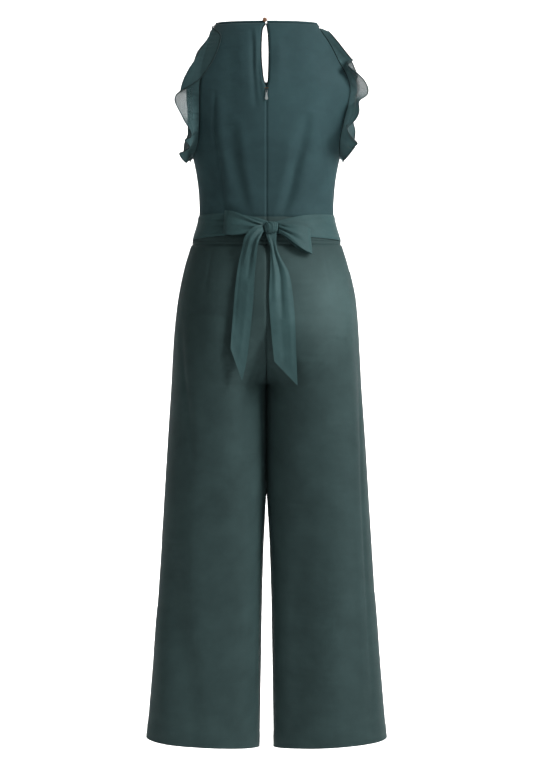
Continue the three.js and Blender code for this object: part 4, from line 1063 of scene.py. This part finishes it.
def turned_back(side, face, vs, out, width, fold, shares):
    """The strip goes out from its seam to a fold and comes back over the bodice, on which it lies."""
    surface = bodice_surface(side, face)
    zero = np.zeros_like(vs)
    row_length = np.linalg.norm(surface(zero, vs) - surface(zero + 1, vs), axis=-1)[:, None]
    row_length = row_length * FLAP_LENGTHENING
    crest = (fold / width)[:, None]
    start = SEAM + CHIFFON
    going = start + (fold[:, None] - start) * shares / crest
    coming = fold[:, None] - width[:, None] * (shares - crest)
    lateral = (going + coming - np.sqrt((going - coming) ** 2 + FOLD_SOFTNESS ** 2)) / 2
    u = 1 + np.minimum(lateral, 0) / row_length
    v = np.repeat(vs[:, None], shares.shape[-1], 1)
    step = 1e-3
    du = surface(u, v) - surface(u - step, v)
    dv = surface(u, v + step) - surface(u, v - step)
    point = surface(u, v)
    normal = facing_out(unit(np.cross(du, dv)), point)
    beyond = unit(unit(du) * 0.4 + out[:, None] * 0.6)
    height = mix(0.0, FLAP_HEIGHT, ease((shares - crest) / 0.16 + 0.5)) * mix(1.0, 0.75, shares)
    return point + beyond * np.maximum(lateral, 0)[..., None] + normal * height[..., None]


def sideways(along, side):
    """Straight out to one side, turned as little as it takes to stand square on the armhole."""
    return square_to(along, np.array([side, 0.0, 0.0]))


# Rows of the dark strip of painted shade along the armhole: inwards, outwards and off the bodice.
ARMHOLE_SHADE_ROWS = ((6, 0, -2.2), (0, 0, -1.9), (0, 0.7, -1.4), (0, 1.4, -0.5), (0, 2.0, 0.1))


def armhole_shade_strip(name, side, count=360):
    """A dark strip along the seam between bodice and ruffle: painted shade that shows as a thin dark
    line beside the edge.
    """
    edge, along, faces, vs, _ = armhole_line(side, np.linspace(0, 1, count))
    edge, along = smooth_rows(edge, SMOOTHING), unit(smooth_rows(along, SMOOTHING))
    inside = edge.copy()
    for face in ("back", "front"):
        here = faces == face
        inside[here] = bodice_surface(side, face)(np.full(here.sum(), 0.96), vs[here])
    inwards = square_to(along, inside - edge)
    normals = facing_out(unit(np.cross(along, inwards)), edge)
    out = sideways(along, side)
    lines = [edge + inwards * a + out * b + normals * c for a, b, c in ARMHOLE_SHADE_ROWS]
    return painted_shade_strip(f"armhole_shade_strip_{name}", lines)


GATHER_WAVES = (37, 53, 71)
GATHER_HEIGHT = 0.9
LEAST_FOLD = 2.5


def ruffle_points(name, side, seed, along_count=520, across_count=30):
    rows = RUFFLES[name]
    at = np.linspace(0, 1, along_count)
    shares = np.linspace(0, 1, across_count)
    point, along, faces, vs, _ = armhole_line(side, at)
    point, along = smooth_rows(point, SMOOTHING), unit(smooth_rows(along, SMOOTHING))
    columns = ("width", "base", "angle", "lay", "fold")
    width, base, angle, lay, fold = (curve(rows, "at", name)(at) for name in columns)
    out = sideways(along, side)
    inwards = unit(np.cross(along, out) * side)
    reach = width[:, None] * shares
    turn = np.radians(mix(base[:, None], angle[:, None], ease(1.3 * shares)))
    free = point[:, None] + out[:, None] * (np.cos(turn) * reach + SEAM + CHIFFON)[..., None]
    free = free + inwards[:, None] * (np.sin(turn) * reach)[..., None]
    free[..., 2] -= RUFFLE_DROOP * shares ** 2
    lay = np.clip(lay, 0, 1)
    flat = free.copy()
    for face in ("back", "front"):
        here = (faces == face) & (lay > 0)
        if here.any():
            flat[here] = turned_back(side, face, vs[here], out[here], width[here],
                                     np.maximum(fold[here], LEAST_FOLD), shares[None, :])
    points = mix(free, flat, lay[:, None, None])
    random = np.random.default_rng(seed)
    phases = random.uniform(0, 6, 3)
    gathers = sum(np.sin(2 * math.pi * at * n + p) for n, p in zip(GATHER_WAVES, phases)) / 3
    fade = (shares * 6).clip(0, 1) * (1 - shares) ** 1.6
    normals = grid_normals(points)
    return points + normals * (GATHER_HEIGHT * gathers[:, None] * fade)[..., None]


SOLID_REACH = 7
SOLID_FADE = 16


def mark_gathered(piece, name, points):
    """Writes how solid the chiffon looks at each point: most near the seam, least in a free flute."""
    near_seam = 1 - ease((edge_distances(points)[0] - SOLID_REACH) / SOLID_FADE)
    along = curve(GATHERED[name], "at", "share")(np.linspace(0, 1, len(points)))
    share = np.clip(np.maximum(near_seam, along[:, None]), 0, 1)
    layer = piece.data.attributes.new("gathered", "FLOAT", "POINT")
    layer.data.foreach_set("value", share.astype(np.float32).ravel())


print("armhole directions", sideways(armhole_line(1, np.array([0.5]))[1], 1).round(2))

# %% [markdown]
# Ruffles and their rolled hems
# The strip is one thin layer with a wall on both sides of its grid. Its free edge is rolled and
# overcast by machine, which makes it a cord of cloth two millimetres thick that shows as a dark line.

# %% Ruffles
HEM_INSET = 0.5
HEM_HIGH = 2.6
HEM_DEEP = 2.3
RUFFLE_SEEDS = {"left": 11, "right": 7}


def ruffle(name, side):
    points = ruffle_points(name, side, RUFFLE_SEEDS[name])
    piece = grid_mesh(f"ruffle_strip_{name}", points, CHIFFON_CLOTH)
    mark_gathered(piece, name, points)
    give_wall(piece, THIN_WALL, 0.0)
    edge = points[:, -1]
    along = unit(np.gradient(edge, axis=0))
    inward = unit(points[:, -2] - edge)
    out = unit(np.cross(along, inward))
    up = unit(np.cross(out, along))
    hem = tube_mesh(f"ruffle_hem_{name}", edge + inward * HEM_INSET, up, out, HEM_HIGH, HEM_DEEP,
                    sides=8, material=HEM_CLOTH, dents=0.1, seed=21)
    attach(hem)
    finish_cloth(piece, f"ruffle_{name}",
                 flat_size(points),
                 [hem, armhole_shade_strip(name, side)])


for name, side in SIDES.items():
    ruffle(name, side)

# %% [markdown]
# Sash tables
# The sash is one strip, tied at the back. It is shown as its stretches: the band round the waist, the
# knot, two bow loops and two hanging tails, each from the same rows as its solid.

# %% Sash tables
SASH = 1.4
SASH_WALL = 1.1
BELT_OFF = 1.1
FULLEST = -620
KNOT = {"x": 9, "z": -424, "half_width": 14.5, "half_depth": 9.5, "half_height": 12.5}
BELT_ROWS = table("turn top bottom", [
    (0, -414, -434), (0.04, -404, -438), (0.09, -396, -441), (0.2, -392, -443), (0.5, -396, -446),
    (0.8, -392, -441), (0.91, -394, -437), (0.96, -401, -434), (1, -412, -432),
])
LOOP_ROWS = table("s reach stand", [
    (0, 0, 13), (0.12, 0.2, 17), (0.28, 0.58, 19), (0.4, 0.88, 17), (0.46, 0.975, 14),
    (0.5, 1, 10.5), (0.54, 0.975, 7), (0.6, 0.88, 4.6), (0.72, 0.58, 4.2), (0.88, 0.2, 4.6),
    (1, 0, 5),
])
LOOPS = {
    "left": {"side": -1, "end_x": -84, "end_z": -411, "end_height": 48, "slant": 3, "sag": 0},
    "right": {"side": 1, "end_x": 88, "end_z": -450, "end_height": 50, "slant": -4, "sag": 5},
}
LOOP_AT_KNOT = 20
LOOP_GAP = 1.4
TAILS = {
    "left": table("v left_x left_z right_x right_z stand", [
        (0, -5.9, -417, -5.7, -430, 15.5), (0.04, -26, -424, -10, -441, 24),
        (0.09, -42, -442, -15, -453, 25), (0.14, -47, -460, -18, -470, 17),
        (0.28, -56, -501, -22.5, -511, 5), (0.45, -62, -550, -25.5, -562, 4),
        (0.65, -66, -601, -31, -622, 4), (0.85, -69, -640, -38, -680, 6),
        (1, -70, -664, -47.5, -726, 9),
    ]),
    "right": table("v left_x left_z right_x right_z stand", [
        (0, -2, -434, 20, -434, 13), (0.07, 7, -461, 20, -461, 9), (0.14, 8, -481, 27, -481, 6),
        (0.27, 7, -514, 44, -514, 4.5), (0.45, 5, -558, 52, -562, 4), (0.62, 7, -600, 56, -610, 4),
        (0.82, 11, -648, 58, -668, 6), (1, 15, -688, 60.5, -735, 9),
    ]),
}
print("sash rows", len(BELT_ROWS["turn"]), len(LOOP_ROWS["s"]))

# %% [markdown]
# The band of the sash
# It goes once round the waist from one side of the knot to the other, and its folded layers make a few
# long creases that converge at the knot. On both sides of the knot a dark strip under its lower edge
# is painted shadow, the thin shadow that the edge throws on the seam below.

# %% Sash band
BELT_END = 0.004


def belt_surface():
    top, bottom = curve(BELT_ROWS, "turn", "top"), curve(BELT_ROWS, "turn", "bottom")
    knot_angle = math.asin(KNOT["x"] / HALF(KNOT["z"]))

    def point(u, v):
        around = knot_angle + mix(BELT_END, 2 * math.pi - BELT_END, u)
        z = mix(top(u), bottom(u), v)
        cosine = np.cos(around)
        deep = np.where(cosine > 0, DEPTH["back"](z), DEPTH["front"](z))
        y = -deep * np.sign(cosine) * np.abs(cosine) ** ROUNDNESS
        return np.stack([HALF(z) * np.sin(around), y, z], axis=-1)

    return point


def pleats(u, v, rows):
    """Long creases across a strip: each has a place at both ends of a stretch, a width and a height."""
    total = np.zeros_like(u)
    for first, last, from_v, to_v, width, height in rows:
        share = np.clip((u - first) / (last - first), 0, 1)
        middle = mix(from_v, to_v, share)
        inside = ((u >= first) & (u <= last)) * np.sin(math.pi * share) ** 0.5
        total += ridge(v - middle, width, height) * inside
    return total


BELT_PRESSED = 0.7
SHADOW_STRIP_COLUMNS = {"right": np.s_[:115], "left": np.s_[-115:]}
BELT_PLEATS = [
    (0.0, 0.16, 0.4, 0.16, 0.07, -1.1), (0.0, 0.2, 0.62, 0.5, 0.08, -0.9),
    (0.02, 0.26, 0.3, 0.34, 0.07, 0.6), (0.08, 0.4, 0.8, 0.86, 0.05, -0.6),
    (0.3, 0.62, 0.2, 0.24, 0.06, -0.7), (0.36, 0.74, 0.62, 0.55, 0.07, -0.6),
    (0.78, 1.0, 0.14, 0.42, 0.06, -0.9), (0.74, 0.98, 0.06, 0.2, 0.05, -0.7),
    (0.84, 1.0, 0.5, 0.6, 0.08, -1.0), (0.7, 0.95, 0.9, 0.82, 0.05, -0.6),
    (0.82, 0.99, 0.3, 0.5, 0.06, 0.6),
]


def sash_band():
    points, u, v = grid(belt_surface(), 420, 34, tight=0.3)
    flat = flat_size(points)
    normals, flip = outward_normals(points)
    _, _, from_top, from_bottom = edge_distances(points)
    rounded = edge_roll(from_top, 1.0, 2.0) + edge_roll(from_bottom, 1.2, 2.2)
    relief = BELT_OFF + SASH + pleats(u, v, BELT_PLEATS) * BELT_PRESSED + rounded
    piece = grid_mesh("sash_band", points + normals * relief[..., None], SASH_CLOTH, flip=not flip)
    give_wall(piece, SASH_WALL)
    # Dark strips under the lower edge on both sides of the knot: painted shadow of the edge on the seam
    # below.
    turned = [
        allowance(f"sash_band_painted_shadow_{name}", points[-2, part], points[-5, part],
                  -normals[-2, part] * SASH_WALL / 2)
        for name, part in SHADOW_STRIP_COLUMNS.items()
    ]
    finish_cloth(piece, "belt_band",
                 flat, turned)


sash_band()

# %% [markdown]
# The bow loops
# Each loop leaves the knot, turns over at its end and comes back behind itself. Folds fan out from the
# knot, where the strip is squeezed to less than half of its width.

# %% Bow loops
def loop_points(loop, along=130, across=30):
    s, t = np.meshgrid(np.linspace(0, 1, along), np.linspace(0, 1, across), indexing="ij")
    out = np.clip(curve(LOOP_ROWS, "s", "reach")(s), 0, 1)
    stand = curve(LOOP_ROWS, "s", "stand")(s)
    height = mix(LOOP_AT_KNOT, loop["end_height"], ease(out * 1.15))
    middle = mix(KNOT["z"], loop["end_z"], out)
    z = middle + (t - 0.5) * height - loop["sag"] * np.sin(math.pi * out) * (s > 0.5)
    start_x = KNOT["x"] + loop["side"] * (KNOT["half_width"] + LOOP_GAP)
    x = mix(start_x, loop["end_x"] + loop["slant"] * (t - 0.5), out)
    points = np.stack([x, back_surface(x, z) - stand, z], axis=-1)
    return points, out, s, t


LOOP_FOLDS = {
    "left": [
        (0.3, 0.1, 0.10, -2.2), (0.52, 0.42, 0.08, 1.6), (0.72, 0.74, 0.1, -2.0),
        (0.86, 0.98, 0.08, 1.2),
    ],
    "right": [
        (0.25, 0.02, 0.09, 1.5), (0.42, 0.3, 0.1, -2.3), (0.6, 0.6, 0.09, 1.8),
        (0.76, 0.86, 0.1, -1.8),
    ],
}


def bow_loop(name):
    loop = LOOPS[name]
    points, out, s, t = loop_points(loop)
    flat = flat_size(points.transpose(1, 0, 2))
    relief = np.zeros_like(out)
    for at_knot, at_end, width, height in LOOP_FOLDS[name]:
        line = mix(at_knot, at_end, out)
        relief += ridge(t - line, width, height) * (1 - out) ** 0.9 * np.clip(out * 9, 0.25, 1)
    moved = points.copy()
    moved[..., 1] -= np.where(s < 0.5, 1.5 * relief, -0.3 * relief)
    piece = grid_mesh(f"sash_loop_{name}", moved, SASH_CLOTH)
    give_wall(piece, SASH_WALL, 0.0)
    finish_cloth(piece, f"bow_loop_{name}", flat)


for name in LOOPS:
    bow_loop(name)

# %% [markdown]
# The hanging tails
# Both tails come out of the knot gathered, open to their full width and end in a slanted cut. The left
# one arches over before it falls; the right one keeps a ridge and a valley for half of its length.

# %% Tails
HANG_ABOVE = 40
HANG_OVER = 60
TAIL_PRESSED = 0.9
TAIL_FOLDS = {
    "left": [
        (0.0, 0.35, 0.7, 0.62, 0.12, -2.4), (0.0, 0.26, 0.4, 0.3, 0.1, 1.8),
        (0.02, 0.2, 0.88, 0.8, 0.07, 1.4), (0.1, 0.75, 0.12, 0.16, 0.08, -0.6),
        (0.3, 0.98, 0.66, 0.6, 0.14, 0.8),
    ],
    "right": [
        (0.0, 0.5, 0.2, 0.28, 0.1, 2.2), (0.03, 0.62, 0.52, 0.5, 0.11, -3.2),
        (0.05, 0.4, 0.82, 0.8, 0.1, 1.4), (0.3, 0.98, 0.4, 0.46, 0.14, -0.9),
        (0.35, 0.97, 0.78, 0.8, 0.1, 0.8),
    ],
}


def tail_points(rows, along=150, across=30):
    v, t = np.meshgrid(np.linspace(0, 1, along), np.linspace(0, 1, across), indexing="ij")
    columns = ("left_x", "left_z", "right_x", "right_z", "stand")
    left_x, left_z, right_x, right_z, stand = (curve(rows, "v", name)(v) for name in columns)
    x, z = mix(left_x, right_x, t), mix(left_z, right_z, t)
    resting = back_surface(x, np.maximum(z, FULLEST))
    hanging = ease((FULLEST + HANG_ABOVE - z) / HANG_OVER)
    y = mix(resting, -DEPTH["back"](FULLEST), hanging) - stand
    return np.stack([x, y, z], axis=-1), v, t


def tail(name):
    points, v, t = tail_points(TAILS[name])
    flat = flat_size(points)
    moved = points.copy()
    moved[..., 1] -= pleats(v, t, TAIL_FOLDS[name]) * TAIL_PRESSED
    piece = grid_mesh(f"sash_tail_{name}", moved, SASH_CLOTH)
    give_wall(piece, SASH_WALL, 0.0)
    finish_cloth(piece, f"belt_tail_{name}", flat)


for name in TAILS:
    tail(name)

# %% [markdown]
# The knot
# The knot is a loop of the sash pulled tight round the others. It starts as a sphere, is squared off
# by a power law, and gets the diagonal creases of cloth that is wound round and drawn in.

# %% Knot
KNOT_OFF = 1.5
KNOT_SQUARENESS = 0.66
KNOT_UV_SIZE = (0.09, 0.045)
KNOT_CREASES = (
    (-0.62, 0.1, -0.12), (-0.3, 0.07, -0.1), (0.02, 0.08, -0.16), (0.34, 0.07, -0.1),
    (0.66, 0.1, -0.14),
)


def knot():
    bpy.ops.object.select_all(action="DESELECT")
    bpy.ops.mesh.primitive_uv_sphere_add(segments=64, ring_count=40, radius=1.0)
    piece = bpy.context.object
    piece.name = "sash_knot"
    size = np.array([KNOT["half_width"], KNOT["half_depth"], KNOT["half_height"]])
    off = BELT_OFF + SASH + KNOT_OFF + KNOT["half_depth"]
    centre = np.array([KNOT["x"], back_surface(KNOT["x"], KNOT["z"]) - off, KNOT["z"]])
    place = np.array([v.co for v in piece.data.vertices])
    soft = np.sign(place) * np.abs(place) ** KNOT_SQUARENESS
    lean = place[:, 0] * (1.15 - 0.35 * place[:, 2]) + 0.22 * place[:, 2] ** 2 + 0.1 * place[:, 2]
    soft[:, 0] *= 0.95 + 0.2 * place[:, 2] - 0.1 * place[:, 2] ** 2
    creases = sum(ridge(lean - at, wide, deep) for at, wide, deep in KNOT_CREASES)
    behind = np.clip(-place[:, 1] + 0.35, 0, 1)
    soft = soft * (1 + (creases * behind)[:, None])
    for vertex, co in zip(piece.data.vertices, (soft * size + centre) / 1000):
        vertex.co = co
    layer = piece.data.uv_layers[0]
    layer.name = "cloth"
    uv = np.zeros(len(piece.data.loops) * 2, np.float32)
    layer.data.foreach_get("uv", uv)
    uv = uv.reshape(-1, 2) * KNOT_UV_SIZE
    layer.data.foreach_set("uv", uv.astype(np.float32).ravel())
    piece.data.materials.append(SASH_CLOTH)
    bpy.ops.object.shade_smooth()
    return attach(piece, "belt_knot")


print("knot", knot().dimensions)

# %% [markdown]
# Small hard pieces
# The button, the hook bar and the zip keep the shapes of their solids, which are right, and get the
# finishes made above. The button's loop gets the cord cloth on Object coordinates.

# %% Small pieces
FINISHES = {
    "neck_button": COPPER, "hook_bar": BRASS, "zip_slider": ZIP_METAL, "zip_pull": PULL_METAL,
    "button_loop": CORD_CLOTH,
}
for node, material in FINISHES.items():
    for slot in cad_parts[node].material_slots:
        slot.material = material
print("dressed", list(FINISHES))

# %% [markdown]
# Floor and wall
# The photo is a cut-out on white, so the floor sweeps up into a wall in one curve with no edge, and
# both have the same pale finish. The paper is clear from behind, so that a camera that goes round
# the garment sees its front through the wall.

# %% Floor and wall
PALE = ((0.93, 0.93, 0.93, 1), (0.96, 0.96, 0.96, 1))


def paper_material():
    material, tree = clear_material("pale paper")
    paper = principled(tree, Base_Color=between_colours(tree, patches(tree, 3.0), *PALE), Roughness=0.9)
    behind = add_node(tree, "ShaderNodeNewGeometry").outputs["Backfacing"]
    clear = add_node(tree, "ShaderNodeBsdfTransparent").outputs["BSDF"]
    both = add_node(tree, "ShaderNodeMixShader", Fac=behind, i1=paper, i2=clear)
    finish_material(tree, both.outputs["Shader"])
    return material


FLOOR = -1.62
WALL = 3.2
BEND = 1.6
PAPER_FRONT = -9.0
PAPER_TOP = 7.0


def sweep():
    turn = np.linspace(0, math.pi / 2, 25)
    y = np.concatenate([[PAPER_FRONT], WALL - BEND + BEND * np.sin(turn), [WALL]])
    z = np.concatenate([[FLOOR], FLOOR + BEND - BEND * np.cos(turn), [PAPER_TOP]])
    xs, ys = np.meshgrid(np.linspace(PAPER_FRONT, -PAPER_FRONT, 3), y)
    zs = np.repeat(z[:, None], 3, axis=1)
    piece = grid_mesh("paper_sweep", np.stack([xs, ys, zs], axis=-1) * 1000, paper_material())
    return piece


print("sweep faces", len(sweep().data.polygons))

# %% [markdown]
# Light
# A large soft lamp from the right and a weak one from the left model the folds, and an even white
# surround fills the shadows. Two faint narrow lamps lift the hip and the right ruffle, which catch
# the light in the photo. Three more face away from the garment and keep the paper white.

# %% Light
def lamp(name, place, aim, size, watts, spread_degrees):
    data = bpy.data.lights.new(name, "AREA")
    data.shape = "RECTANGLE"
    data.size, data.size_y = size
    data.energy = watts
    data.spread = math.radians(spread_degrees)
    light = bpy.data.objects.new(name, data)
    light.location = place
    light.rotation_euler = (Vector(aim) - Vector(place)).to_track_quat("-Z", "Y").to_euler()
    bpy.context.scene.collection.objects.link(light)


LAMPS = (
    ("key", (2.8, -1.7, 1.5), (0.0, 0.0, -0.8), (1.1, 1.8), 235, 180),
    ("hip", (1.25, -0.85, -0.4), (0.16, -0.1, -0.56), (0.1, 0.1), 0.085, 9),
    ("ruffle", (-1.0, -1.7, 0.3), (0.195, -0.06, -0.21), (0.1, 0.1), 0.08, 8),
    ("fill_left", (-2.4, -2.2, 0.2), (0.0, 0.0, -0.7), (1.2, 2.0), 7, 180),
    ("floor", (0.0, 2.2, 2.6), (0.0, 1.7, -1.6), (3.0, 1.4), 62, 70),
    ("wall_-1", (-1.5, 0.9, 0.9), (-0.15, 3.2, -0.4), (0.6, 1.6), 21, 120),
    ("wall_1", (1.5, 0.9, 0.9), (0.15, 3.2, -0.4), (0.6, 1.6), 21, 120),
)
SURROUND = 0.22
for row in LAMPS:
    lamp(*row)
world = bpy.data.worlds.new("studio")
world.use_nodes = True
world.node_tree.nodes["Background"].inputs["Color"].default_value = (1, 1, 1, 1)
world.node_tree.nodes["Background"].inputs["Strength"].default_value = SURROUND
bpy.context.scene.world = world
bpy.context.scene.view_settings.view_transform = "Standard"

# %% [markdown]
# Sizes
# The number of triangles in all the cloth pieces is printed. The dressed garment has to stay in the
# imported model's box, apart from the little that cloth may stand proud.

# %% Sizes
print("cloth triangles", sum(row[4] for row in MADE))
